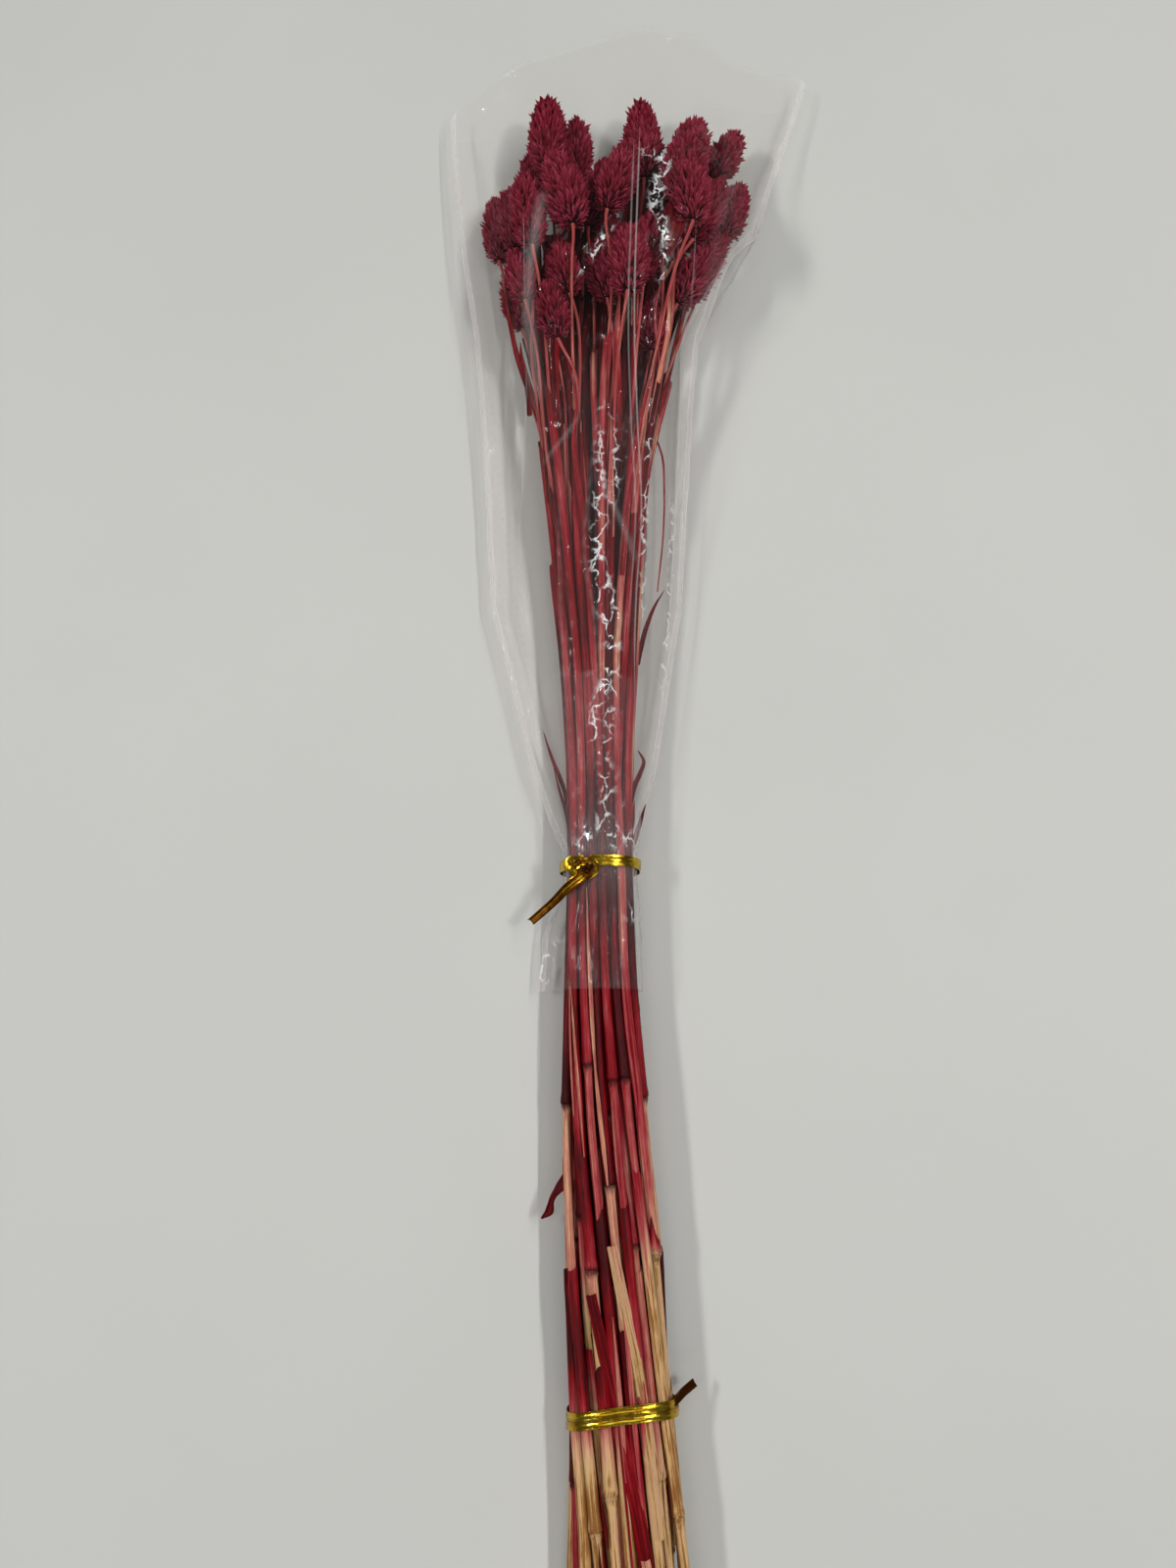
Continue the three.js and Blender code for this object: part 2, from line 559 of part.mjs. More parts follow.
// A twist tie: two turns of a flat strip round what it holds, a twisted knot and a loose tail
function tieSolid({ y, discs, low, knotAngle, tail }) {
  const PER_TURN = 20;
  const TURNS = 2;
  const KNOT_POINTS = 5;
  const KNOT_WIDTH = 0.95; // shares of the strip's width
  const TAIL_WIDTH = 0.85;
  const KNOT_THICKNESS = 1.3;
  const SEAT = GAP + TIE_THICKNESS / 2;
  const HUMP = 1.6;
  const OVERLAP = 0.4; // how far the knot reaches past the turns on either side
  const xs = discs.map((disc) => disc.x);
  const middle = (Math.min(...xs) + Math.max(...xs)) / 2;
  const held = [...discs, { x: middle, z: low, r: 0 }];
  const pointAt = (angle, clearance) => tightCorner(held, angle, (2 * Math.PI) / PER_TURN, clearance);
  const rings = [];
  for (let i = 0; i <= PER_TURN * TURNS; i++) {
    const angle = knotAngle + (i / PER_TURN) * 2 * Math.PI;
    const at = y + TIE_PITCH * (i / PER_TURN - TURNS / 2);
    const inner = pointAt(angle, GAP);
    const outer = pointAt(angle, GAP + TIE_THICKNESS);
    rings.push([
      new THREE.Vector3(inner.x, at - TIE_WIDTH / 2, inner.z),
      new THREE.Vector3(outer.x, at - TIE_WIDTH / 2, outer.z),
      new THREE.Vector3(outer.x, at + TIE_WIDTH / 2, outer.z),
      new THREE.Vector3(inner.x, at + TIE_WIDTH / 2, inner.z),
    ]);
  }
  const out = new THREE.Vector3(Math.cos(knotAngle), 0, Math.sin(knotAngle));
  const seat = pointAt(knotAngle, SEAT);
  const path = Array.from({ length: KNOT_POINTS }, (_, i) => {
    const share = i / (KNOT_POINTS - 1);
    const along = lerp(TIE_PITCH + OVERLAP, -TIE_PITCH - OVERLAP, share);
    const rise = HUMP * Math.sin(share * Math.PI);
    return new THREE.Vector3(seat.x, y + along, seat.z).addScaledVector(out, rise);
  });
  path.push(...tail.map((point) => new THREE.Vector3(...point)));
  const knot = path.map((point, k) => {
    const way = path[Math.min(k + 1, path.length - 1)].clone().sub(path[Math.max(k - 1, 0)]).normalize();
    const across = new THREE.Vector3().crossVectors(way, out).normalize();
    const flat = new THREE.Vector3().crossVectors(across, way);
    const width = TIE_WIDTH * (k < KNOT_POINTS ? KNOT_WIDTH : TAIL_WIDTH);
    return oblong(point, flat, KNOT_THICKNESS, across, width);
  });
  return fuse([loft(rings), loft(knot)]);
}

// The upper or lower edge of the hull round some points, from left to right
function hullChain(points, side) {
  const sorted = [...points].sort((a, b) => a.x - b.x || side * (b.z - a.z));
  const chain = [];
  for (const p of sorted) {
    while (chain.length > 1) {
      const a = chain[chain.length - 2];
      const b = chain[chain.length - 1];
      const turn = (b.x - a.x) * (p.z - a.z) - (b.z - a.z) * (p.x - a.x);
      if (side * turn < 0) break;
      chain.pop();
    }
    chain.push(p);
  }
  return chain;
}

// A hull's edge redrawn in equal parts that lie just outside it, but not below the floor
function redraw(chain, parts, side, floor) {
  const lengths = [0];
  for (let k = 1; k < chain.length; k++)
    lengths.push(lengths[k - 1] + Math.hypot(chain[k].x - chain[k - 1].x, chain[k].z - chain[k - 1].z));
  const whole = lengths[lengths.length - 1];
  const even = Array.from({ length: parts + 1 }, (_, i) => {
    const want = (whole * i) / parts;
    let k = 1;
    while (k < chain.length - 1 && lengths[k] < want) k++;
    const t = (want - lengths[k - 1]) / (lengths[k] - lengths[k - 1]);
    return { x: lerp(chain[k - 1].x, chain[k].x, t), z: lerp(chain[k - 1].z, chain[k].z, t) };
  });
  const cut = new Array(parts).fill(0);
  chain.forEach((p, k) => {
    const i = Math.min(Math.floor((lengths[k] / whole) * parts), parts - 1);
    const [a, b] = [even[i], even[i + 1]];
    const off = ((b.x - a.x) * (p.z - a.z) - (b.z - a.z) * (p.x - a.x)) / Math.hypot(b.x - a.x, b.z - a.z);
    const atEnd = i === 0 || i === parts - 1;
    cut[i] = Math.max(cut[i], side * off * (atEnd ? 2 : 1));
  });
  return even.map((p, i) => {
    if (i === 0 || i === parts) return p;
    const [a, b] = [even[i - 1], even[i + 1]];
    const move = (side * Math.max(cut[i - 1], cut[i])) / Math.hypot(b.x - a.x, b.z - a.z);
    return { x: p.x - (b.z - a.z) * move, z: Math.max(p.z + (b.x - a.x) * move, floor) };
  });
}

const FRONT_PARTS = 16;
const BACK_PARTS = 12;

// The sleeve's inner outline across Y: the front sheet from left to right, then the back sheet to the
// left again
function sleeveOutline(stalks, row, from, to) {
  const SAMPLES = 16;
  const left = row.left + row.weld;
  const right = row.right - row.weld;
  const floor = row.lift + FILM;
  const points = [];
  for (const disc of discsWithin(stalks, from, to))
    for (let i = 0; i < SAMPLES; i++) {
      const angle = (i / SAMPLES) * 2 * Math.PI;
      const r = disc.r + row.slack;
      points.push({ x: disc.x + r * Math.cos(angle), z: Math.max(disc.z + r * Math.sin(angle), floor) });
    }
  const seams = [{ x: left, z: row.seam }, { x: right, z: row.seam }];
  const bed = [lerp(left, right, 0.2), lerp(left, right, 0.8)].map((x) => ({ x, z: floor }));
  const front = redraw(hullChain([...points, ...seams], 1), FRONT_PARTS, 1, floor);
  const back = redraw(hullChain([...points, ...seams, ...bed], -1), BACK_PARTS, -1, floor);
  return [...front, ...back.slice(1, -1).reverse()];
}

// A film sleeve of two sheets welded along their sides, loose round the heads and drawn in under the
// upper tie
function sleeveSolid(stalks) {
  const MOUTH_RINGS = 3;
  const SHARED = 0.65; // how far towards its neighbours a row's outline holds the stalks
  const rows = [];
  const outlines = [];
  SLEEVE.forEach((row, k) => {
    const from = k > 0 ? lerp(row.y, SLEEVE[k - 1].y, SHARED) : row.y;
    const to = k + 1 < SLEEVE.length ? lerp(row.y, SLEEVE[k + 1].y, SHARED) : row.y;
    const outline = sleeveOutline(stalks, row, from, to);
    for (const end of row.y === UPPER_TIE_Y ? [-0.5, 0.5] : [0]) {
      rows.push({ ...row, y: row.y + end * NECK_LENGTH });
      outlines.push(outline);
    }
  });
  const columns = FRONT_PARTS + BACK_PARTS;
  const isFront = (i) => i <= FRONT_PARTS;
  const shareOf = (i) => (isFront(i) ? i / FRONT_PARTS : (columns - i) / BACK_PARTS);
  const pointAt = (i, y) => {
    let k = 0;
    while (k < rows.length - 2 && rows[k + 1].y < y) k++;
    const t = (y - rows[k].y) / (rows[k + 1].y - rows[k].y);
    const a = outlines[k][i];
    const b = outlines[k + 1][i];
    return new THREE.Vector3(lerp(a.x, b.x, t), y, lerp(a.z, b.z, t));
  };
  const mouthAt = (i) => {
    const share = shareOf(i);
    const corners = lerp(LEFT_CORNER_Y, RIGHT_CORNER_Y, share);
    const bow = Math.sin(Math.PI * share);
    const peak = HALF_LENGTH - (LEFT_CORNER_Y + RIGHT_CORNER_Y) / 2;
    return corners + (isFront(i) ? -FRONT_DIP * bow ** 0.7 : peak * bow ** 1.3);
  };
  const ringAt = (yOf) => Array.from({ length: columns }, (_, i) => pointAt(i, yOf(i)));
  const inner = rows.filter((row) => row.y <= MOUTH_FROM).map((row) => ringAt(() => row.y));
  for (let step = 1; step <= MOUTH_RINGS; step++)
    inner.push(ringAt((i) => lerp(MOUTH_FROM, mouthAt(i), step / MOUTH_RINGS)));
  const outer = inner.map((ring) =>
    ring.map((point, i) => {
      const before = ring[(i + columns - 1) % columns];
      const after = ring[(i + 1) % columns];
      const way = new THREE.Vector3(after.x - before.x, 0, after.z - before.z).normalize();
      const outward = new THREE.Vector3().crossVectors(ALONG, way).negate();
      const row = rowAt(rows, point.y);
      const { x, y, z } = point;
      if (i === 0) return new THREE.Vector3(Math.min(row.left, x - FILM), y, z);
      if (i === FRONT_PARTS) return new THREE.Vector3(Math.max(row.right, x + FILM), y, z);
      return isFront(i) ? point.clone().addScaledVector(outward, FILM) : new THREE.Vector3(x, y, z - FILM);
    }),
  );
  return { geometry: sleeveLoft(outer, inner), outer };
}

const dyedHead = new THREE.MeshStandardMaterial({ color: 0x7d1f2e, roughness: 0.9, metalness: 0 });
const dyedStem = new THREE.MeshStandardMaterial({ color: 0xa8443f, roughness: 0.7, metalness: 0 });
const goldFoil = new THREE.MeshStandardMaterial({ color: 0xc9a227, roughness: 0.3, metalness: 0.9 });
const clearFilm = new THREE.MeshStandardMaterial({
  color: 0xe6e4e4,
  roughness: 0.15,
  metalness: 0,
  transparent: true,
  opacity: 0.25,
});

function named(name, geometry, material) {
  const mesh = new THREE.Mesh(geometry, material);
  mesh.name = name;
  return mesh;
}

const bunch = new THREE.Group();
const stalks = layOut();

// The stem that stands out farthest on each leaf end's side bears it
const bearers = LEAF_ENDS.map((leaf) => {
  const discs = stalks.map((stalk) => discAt(stalk, leaf.y)).filter((disc) => disc && !disc.head);
  return discs.reduce((a, b) => (leaf.side * b.x + b.r > leaf.side * a.x + a.r ? b : a)).stalk;
});
stalks.forEach((stalk, i) => {
  const number = String(i + 1).padStart(2, '0');
  const leaves = LEAF_ENDS.filter((_, k) => bearers[k] === stalk);
  bunch.add(named('stem_' + number, stemSolid(stalk, leaves), dyedStem));
  bunch.add(named('head_' + number, headSolid(stalk), dyedHead));
});

const sleeve = sleeveSolid(stalks);
bunch.add(named('sleeve', sleeve.geometry, clearFilm));

const TIE_REACH = 8; // how far along the bunch a tie may touch what it holds
const gathered = sleeve.outer.filter((ring) => Math.abs(ring[0].y - UPPER_TIE_Y) < TIE_REACH).flat();
const upperTie = {
  y: UPPER_TIE_Y,
  discs: gathered.map((point) => ({ x: point.x, z: point.z, r: 0 })),
  low: 1,
  knotAngle: degToRad(108),
  tail: [[-26, -47, 25], [-33, -52.5, 20], [-41.5, -59.5, 13]],
};
bunch.add(named('tie_upper', tieSolid(upperTie), goldFoil));

const lowerTie = {
  y: LOWER_TIE_Y,
  discs: discsWithin(stalks, LOWER_TIE_Y - TIE_REACH, LOWER_TIE_Y + TIE_REACH),
  low: 1,
  knotAngle: degToRad(36),
  tail: [[13, -231, 13], [17.5, -225, 8]],
};
bunch.add(named('tie_lower', tieSolid(lowerTie), goldFoil));

export default bunch;
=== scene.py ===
"""A bunch of dried, dyed canary grass in a clear film sleeve, held by two foil twist ties, on a pale table.
Sizes in the code are millimetres in the part's frame, and become metres when a mesh is made."""
import math
import random

import bpy
import numpy as np
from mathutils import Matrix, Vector, noise
from mathutils.bvhtree import BVHTree


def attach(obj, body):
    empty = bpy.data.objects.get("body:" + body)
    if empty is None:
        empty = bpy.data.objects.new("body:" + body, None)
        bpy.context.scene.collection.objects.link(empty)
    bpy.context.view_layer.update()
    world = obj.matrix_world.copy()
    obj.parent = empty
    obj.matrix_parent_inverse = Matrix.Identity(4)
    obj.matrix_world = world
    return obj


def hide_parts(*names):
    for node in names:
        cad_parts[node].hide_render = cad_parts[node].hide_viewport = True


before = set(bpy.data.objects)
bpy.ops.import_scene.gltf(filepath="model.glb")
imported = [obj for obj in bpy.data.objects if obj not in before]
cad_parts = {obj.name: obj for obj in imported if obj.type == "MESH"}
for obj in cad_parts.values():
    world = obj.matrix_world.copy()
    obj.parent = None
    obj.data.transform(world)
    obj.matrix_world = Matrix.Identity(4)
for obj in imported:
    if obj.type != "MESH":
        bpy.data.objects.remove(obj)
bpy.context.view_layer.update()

MM = 0.001
BODY = "root"
STALKS = 28
UPWARD = (0, 0, 1)
DOWNWARD = (0, 0, -1)

# Flower heads
SPIKELET_LENGTH = 4.9
SPIKELET_ROOM = 2.2  # square millimetres of head to each spikelet
GOLDEN_ANGLE = math.radians(137.5)
COLLAR = 26  # spikelets that close a head round its stem
CORE_DEPTH = 1.9  # how far the plain core lies inside the head's girth
ROOT_DEPTH = 2.1  # and the roots of the spikelets
SPLAY_MEAN = 29  # degrees that the spikelets stand off by
SPLAY_SPREAD = 11

# Stems
STEM_SIDES = 10
STATION_STEP = 5
CULM_SHARE = 0.8  # of the stem's girth with its sheath
NECK_RADIUS = 0.64  # of the bare stem below its head
SHEATH_WALL = 0.16
SHEATH_COLUMNS = 14
BLADE_WALL = 0.14

# Film sleeve
FILM_COLUMNS = 130
FILM_ROWS = 210
SLEEVE_FOOT_Y = -86.4
FRONT_DIP = 52  # how far the front sheet's rim lies below the mouth's corners

# Twist ties
UPPER_TIE_Y = -38.6
LOWER_TIE_Y = -230
TIE_WIDTH = 2.8
TIE_PITCH = 3.4
TIE_TURNS = 2
TIE_COLUMNS = 8
FOIL_WALL = 0.25


# Small helpers

def deselect():
    bpy.ops.object.select_all(action="DESELECT")


def pick(*pieces):
    deselect()
    for piece in pieces:
        piece.select_set(True)
    bpy.context.view_layer.objects.active = pieces[0]


def points_of(piece):
    points = np.empty(len(piece.data.vertices) * 3)
    piece.data.vertices.foreach_get("co", points)
    return points.reshape(-1, 3)


def place_points(piece, points):
    """Moves a piece's corners to these places, given in millimetres."""
    piece.data.vertices.foreach_set("co", (np.asarray(points, float) * MM).ravel())
    piece.data.update()


def store(piece, name, values):
    """Keeps a number for each corner of a piece, for its material to read."""
    attribute = piece.data.attributes.new(name, "FLOAT", "POINT")
    attribute.data.foreach_set("value", np.broadcast_to(values, len(piece.data.vertices)).astype(np.float32))


def stretch_uv(piece, across, along):
    """Makes a sheet's UV map run in millimetres across and along it."""
    layer = piece.data.uv_layers[0]
    layer.name = "fibre"
    uv = np.empty(len(layer.data) * 2)
    layer.data.foreach_get("uv", uv)
    layer.data.foreach_set("uv", (uv.reshape(-1, 2) * (across, along)).ravel())


def new_sheet(across, along):
    """A flat sheet divided into across by along parts, with its corners' shares from 0 to 1 each way."""
    deselect()
    bpy.ops.mesh.primitive_grid_add(x_subdivisions=across, y_subdivisions=along, size=2)
    sheet = bpy.context.object
    corners = points_of(sheet)
    return sheet, (corners[:, 0] + 1) / 2, (corners[:, 1] + 1) / 2


def step_of(share, steps):
    """The whole step that a sheet's share falls on."""
    return np.round(share * steps).astype(int)


def close_tube(tube):
    """Joins a rolled sheet's long edges and fills its two ends."""
    pick(tube)
    bpy.ops.object.mode_set(mode="EDIT")
    bpy.ops.mesh.select_all(action="SELECT")
    bpy.ops.mesh.remove_doubles(threshold=0.00002)
    bpy.ops.mesh.fill_holes(sides=0)
    bpy.ops.mesh.select_all(action="SELECT")
    bpy.ops.mesh.normals_make_consistent(inside=False)
    bpy.ops.object.mode_set(mode="OBJECT")


def thicken(sheet, wall, offset=-1):
    """Gives a sheet a wall, in millimetres."""
    pick(sheet)
    solidify = sheet.modifiers.new("wall", "SOLIDIFY")
    solidify.thickness = wall * MM
    solidify.offset = offset
    bpy.ops.object.modifier_apply(modifier=solidify.name)


def smooth(piece, degrees):
    pick(piece)
    bpy.ops.object.shade_smooth_by_angle(angle=math.radians(degrees))


def join(pieces, name):
    pick(*pieces)
    if len(pieces) > 1:
        bpy.ops.object.join()
    whole = bpy.context.view_layer.objects.active
    whole.name = name
    whole.data.name = name
    return whole


def finish_piece(piece, material, slot, *nodes):
    piece.data.materials.clear()
    piece.data.materials.append(material)
    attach(piece, BODY)
    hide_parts(*nodes)


def smoothstep(x, low, high):
    t = np.clip((x - low) / (high - low), 0, 1)
    return t * t * (3 - 2 * t)


def between(x, low, risen, falling, high):
    """1 from risen to falling, easing to 0 at low and high."""
    return smoothstep(x, low, risen) * (1 - smoothstep(x, falling, high))


def cad_corners(node):
    """The corner points of a CAD node, each once, in millimetres."""
    return np.unique(np.round(points_of(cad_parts[node]) / MM, 2), axis=0)


def cad_tree(node):
    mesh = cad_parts[node].data
    return BVHTree.FromPolygons([v.co for v in mesh.vertices], [tuple(p.vertices) for p in mesh.polygons])


def smooth_curve(knots, values, x, slopes=None):
    """Values and slopes at x of a smooth curve through the values at the knots."""
    values = np.asarray(values, float)
    x = np.asarray(x, float)
    if slopes is None:
        slopes = np.gradient(values, knots, axis=0)
    k = np.clip(np.searchsorted(knots, x) - 1, 0, len(knots) - 2)
    h = (knots[k + 1] - knots[k])[:, None]
    t = (x - knots[k])[:, None] / h
    a, b = values[k], values[k + 1]
    m, n = slopes[k] * h, slopes[k + 1] * h
    place = ((2 * t**3 - 3 * t**2 + 1) * a + (t**3 - 2 * t**2 + t) * m
             + (3 * t**2 - 2 * t**3) * b + (t**3 - t**2) * n)
    slope = ((6 * t**2 - 6 * t) * a + (3 * t**2 - 4 * t + 1) * m
             + (6 * t - 6 * t**2) * b + (3 * t**2 - 2 * t) * n) / h
    return place, slope


def unit(vectors):
    return vectors / np.linalg.norm(vectors, axis=-1, keepdims=True)


def ribbon(path, widths, facing, cup, rows, across, wall):
    """A strip of leaf or foil along a path, its flat side facing the given way and cupped by an angle."""
    path = np.asarray(path, float)
    knots = np.concatenate([[0], np.cumsum(np.linalg.norm(np.diff(path, axis=0), axis=1))])
    length = knots[-1]
    sheet, u, v = new_sheet(across, rows)
    centre, way = smooth_curve(knots, path, v * length)
    way = unit(way)
    width = np.interp(v, np.linspace(0, 1, len(widths)), widths)
    facing = np.asarray(facing, float)
    if facing.ndim == 1:
        facing = np.stack([facing, facing])
    turns = np.linspace(0, 1, len(facing))
    toward = np.stack([np.interp(v, turns, facing[:, k]) for k in range(3)], axis=1)
    toward = unit(toward - way * (toward * way).sum(1)[:, None])
    side = np.cross(way, toward)
    cups = np.maximum(np.interp(v, np.linspace(0, 1, np.size(cup)), np.atleast_1d(cup)), 1e-3)
    bend = (u - 0.5) * cups
    radius = width / cups
    offset = side * (radius * np.sin(bend))[:, None] + toward * (radius * (1 - np.cos(bend)))[:, None]
    place_points(sheet, centre + offset)
    stretch_uv(sheet, max(widths), length)
    thicken(sheet, wall, 0)
    return sheet


# Material helpers

def linear(colour):
    """A colour's linear values from its six hex digits."""
    parts = [int(colour[k:k + 2], 16) / 255 for k in (0, 2, 4)]
    return [*(c / 12.92 if c <= 0.04045 else ((c + 0.055) / 1.055) ** 2.4 for c in parts), 1]


def add_node(tree, kind, inputs=None, **settings):
    node = tree.nodes.new(kind)
    for name, value in settings.items():
        setattr(node, name, value)
    for name, value in (inputs or {}).items():
        if isinstance(value, bpy.types.NodeSocket):
            tree.links.new(value, node.inputs[name])
        else:
            node.inputs[name].default_value = value
    return node


def ramp(tree, factor, *stops):
    node = add_node(tree, "ShaderNodeValToRGB", {"Fac": factor})
    elements = node.color_ramp.elements
    while len(elements) < len(stops):
        elements.new(0.5)
    for element, (place, colour) in zip(elements, stops):
        element.position = place
        element.color = linear(colour)
    return node.outputs["Color"]


def maths(tree, operation, a, b=0.0, clamp=False):
    node = add_node(tree, "ShaderNodeMath", {0: a, 1: b}, operation=operation, use_clamp=clamp)
    return node.outputs[0]


def attribute(tree, name):
    return add_node(tree, "ShaderNodeAttribute", attribute_name=name).outputs["Fac"]


def vector_maths(tree, operation, a, b):
    return add_node(tree, "ShaderNodeVectorMath", {0: a, 1: b}, operation=operation).outputs[0]


def scaled(tree, vector, factors):
    return vector_maths(tree, "MULTIPLY", vector, factors)


def times(tree, a, b, clamp=False):
    return maths(tree, "MULTIPLY", a, b, clamp)


def total(tree, first, *others, clamp=False):
    for value in others[:-1]:
        first = maths(tree, "ADD", first, value)
    return maths(tree, "ADD", first, others[-1], clamp)


def swing(tree, value, strength):
    """How far a noise is from its middle, at this strength."""
    return times(tree, maths(tree, "SUBTRACT", value, 0.5), strength)


def noise_on(tree, place, scale, detail, output="Fac", **more):
    inputs = {"Vector": place, "Scale": scale, "Detail": detail, **more}
    return add_node(tree, "ShaderNodeTexNoise", inputs).outputs[output]


def warped(tree, place, scale, detail, reach):
    """A place pushed about by a noise."""
    push = noise_on(tree, place, scale, detail, "Color")
    return vector_maths(tree, "ADD", place, scaled(tree, push, (reach, reach, reach)))


def bumped(tree, strength, distance, height):
    """The surface's direction with a relief on it."""
    inputs = {"Strength": strength, "Distance": distance, "Height": height}
    return add_node(tree, "ShaderNodeBump", inputs).outputs["Normal"]


def object_place(tree):
    return add_node(tree, "ShaderNodeTexCoord").outputs["Object"]


def new_material(name):
    material = bpy.data.materials.new(name)
    material.use_nodes = True
    material.node_tree.nodes.clear()
    return material, material.node_tree


def end_with(tree, kind, inputs):
    """Ends a material with this shader."""
    shader = add_node(tree, kind, inputs)
    add_node(tree, "ShaderNodeOutputMaterial", {"Surface": shader.outputs[0]})


def new_group(name, *sizes):
    """A node group that makes one value from a place and some sizes, and its first and last nodes."""
    group = bpy.data.node_groups.new(name, "ShaderNodeTree")
    group.interface.new_socket("Vector", in_out="INPUT", socket_type="NodeSocketVector")
    for size in sizes:
        group.interface.new_socket(size, in_out="INPUT", socket_type="NodeSocketFloat")
    group.interface.new_socket("Value", in_out="OUTPUT", socket_type="NodeSocketFloat")
    return group, group.nodes.new("NodeGroupInput"), group.nodes.new("NodeGroupOutput")


def use_group(tree, group, **inputs):
    return add_node(tree, "ShaderNodeGroup", inputs, node_tree=group).outputs[0]


def fibre_group():
    """Streaks along a dried stalk or leaf, from a vector in millimetres that runs across and along it."""
    group, start, end = new_group("fibre streaks", "Width", "Length")
    parts = add_node(group, "ShaderNodeSeparateXYZ", {0: start.outputs["Vector"]})
    across = maths(group, "DIVIDE", parts.outputs["X"], start.outputs["Width"])
    along = maths(group, "DIVIDE", parts.outputs["Y"], start.outputs["Length"])
    place = add_node(group, "ShaderNodeCombineXYZ", {"X": across, "Y": along, "Z": parts.outputs["Z"]})
    group.links.new(noise_on(group, place.outputs[0], 1.0, 3.0, Roughness=0.6), end.inputs["Value"])
    return group


def crinkle_group():
    """Creases of crumpled film or foil, as a height, from a vector in millimetres."""
    group, start, end = new_group("crinkle", "Size")
    size = add_node(group, "ShaderNodeCombineXYZ", {axis: start.outputs["Size"] for axis in "XYZ"})
    shrunk = vector_maths(group, "DIVIDE", start.outputs["Vector"], size.outputs[0])
    inputs = {"Vector": warped(group, shrunk, 0.8, 2.0, 0.9), "Scale": 1.0}
    creases = add_node(group, "ShaderNodeTexVoronoi", inputs, feature="F1")
    group.links.new(creases.outputs["Distance"], end.inputs["Value"])
    return group


FIBRE = fibre_group()
CRINKLE = crinkle_group()


def dyed_scales():
    """The papery scales of the flower heads, with painted shade where they overlap and painted highlights
    along their edges and tips.
    """
    material, tree = new_material("dyed scales")
    place = object_place(tree)
    patches = noise_on(tree, place, 90.0, 3.0)
    grain = noise_on(tree, place, 1400.0, 2.0)
    # Painted light: darker at each scale's root, where the scales overlap and shade falls, and paler at its
    # tip and keel.
    painted_light = times(tree, attribute(tree, "along"), 0.6)
    tone = times(tree, attribute(tree, "tone"), 0.4)
    factor = total(tree, painted_light, tone, swing(tree, patches, 0.35), swing(tree, grain, 0.3), clamp=True)
    end_with(tree, "ShaderNodeBsdfPrincipled", {
        "Base Color": ramp(tree, factor, (0.0, "230307"), (0.3, "530b17"), (0.6, "7a1b2c"), (1.0, "9a3a4e")),
        "Roughness": 0.8, "Specular IOR Level": 0.1, "Normal": bumped(tree, 0.5, 0.0002, grain),
    })
    return material


def dyed_straw():
    """Dried stems and leaf sheaths: straw, taking up the dye unevenly from salmon to crimson."""
    material, tree = new_material("dyed straw")
    fibre = add_node(tree, "ShaderNodeUVMap", uv_map="fibre").outputs["UV"]
    own = add_node(tree, "ShaderNodeCombineXYZ", {"Z": attribute(tree, "own")}).outputs[0]
    place = vector_maths(tree, "ADD", fibre, own)
    fine = use_group(tree, FIBRE, Vector=place, Width=0.2, Length=18.0)
    broad = use_group(tree, FIBRE, Vector=place, Width=0.9, Length=34.0)
    blotch = use_group(tree, FIBRE, Vector=place, Width=2.4, Length=8.0)
    dye = total(tree, attribute(tree, "dye"), swing(tree, fine, 0.46), swing(tree, broad, 0.66),
                swing(tree, blotch, 0.34), clamp=True)
    colour = ramp(tree, dye, (0.0, "8a5a2c"), (0.06, "b98d58"), (0.13, "d2ae7c"), (0.22, "cb9a7a"),
                  (0.34, "b66a5a"), (0.46, "a64646"), (0.58, "94212c"), (0.7, "850510"), (0.84, "5c0109"),
                  (1.0, "3a0004"))
    # Darkened towards 260204 at the stems' joint rings, which are their own colour, and by painted shade on
    # leaves deep in the bunch.
    joint_and_shade_darkened = add_node(tree, "ShaderNodeMix", {0: attribute(tree, "joint_dark_and_painted_shade"), 6: colour, 7: linear("260204")},
                      data_type="RGBA")
    end_with(tree, "ShaderNodeBsdfPrincipled", {
        "Base Color": joint_and_shade_darkened.outputs[2], "Roughness": total(tree, times(tree, broad, 0.25), 0.35),
        "Specular IOR Level": 0.12, "Normal": bumped(tree, 0.6, 0.0002, fine),
    })
    return material


def gold_foil():
    """Gold foil over a wire: bright, crumpled, and browner on some strips of its knots and tails, by a share
    given for each.
    """
    material, tree = new_material("gold foil")
    place = object_place(tree)
    in_mm = scaled(tree, place, (1000, 1000, 1000))
    small = times(tree, use_group(tree, CRINKLE, Vector=in_mm, Size=0.7), 0.35)
    height = total(tree, use_group(tree, CRINKLE, Vector=in_mm, Size=2.2), small)
    patches = noise_on(tree, place, 260.0, 3.0)
    tint = total(tree, patches, times(tree, attribute(tree, "browned"), -0.5))
    end_with(tree, "ShaderNodeBsdfPrincipled", {
        "Base Color": ramp(tree, tint, (0.1, "6e3a10"), (0.38, "a67c1c"), (0.6, "c6a62c"), (0.8, "d8c258")),
        "Roughness": 0.24, "Metallic": 1.0, "Normal": bumped(tree, 0.24, 0.0003, height),
    })
    return material


def painted_glint_lines(tree, place):
    """Painted glints: thin pale lines that stand in for the lamps' reflections where the film is crumpled
    most, looping about each other.
    """
    inputs = {"Vector": warped(tree, place, 0.16, 3.0, 9), "Scale": 0.16}
    cells = add_node(tree, "ShaderNodeTexVoronoi", inputs, feature="DISTANCE_TO_EDGE")
    line = maths(tree, "SUBTRACT", 1.3, times(tree, cells.outputs["Distance"], 16.0), clamp=True)
    breaks = noise_on(tree, place, 0.3, 2.0)
    shown = times(tree, maths(tree, "SUBTRACT", breaks, 0.4), 9.0, clamp=True)
    shown = times(tree, line, shown)
    return times(tree, shown, attribute(tree, "painted_glints_and_gloss"), clamp=True)


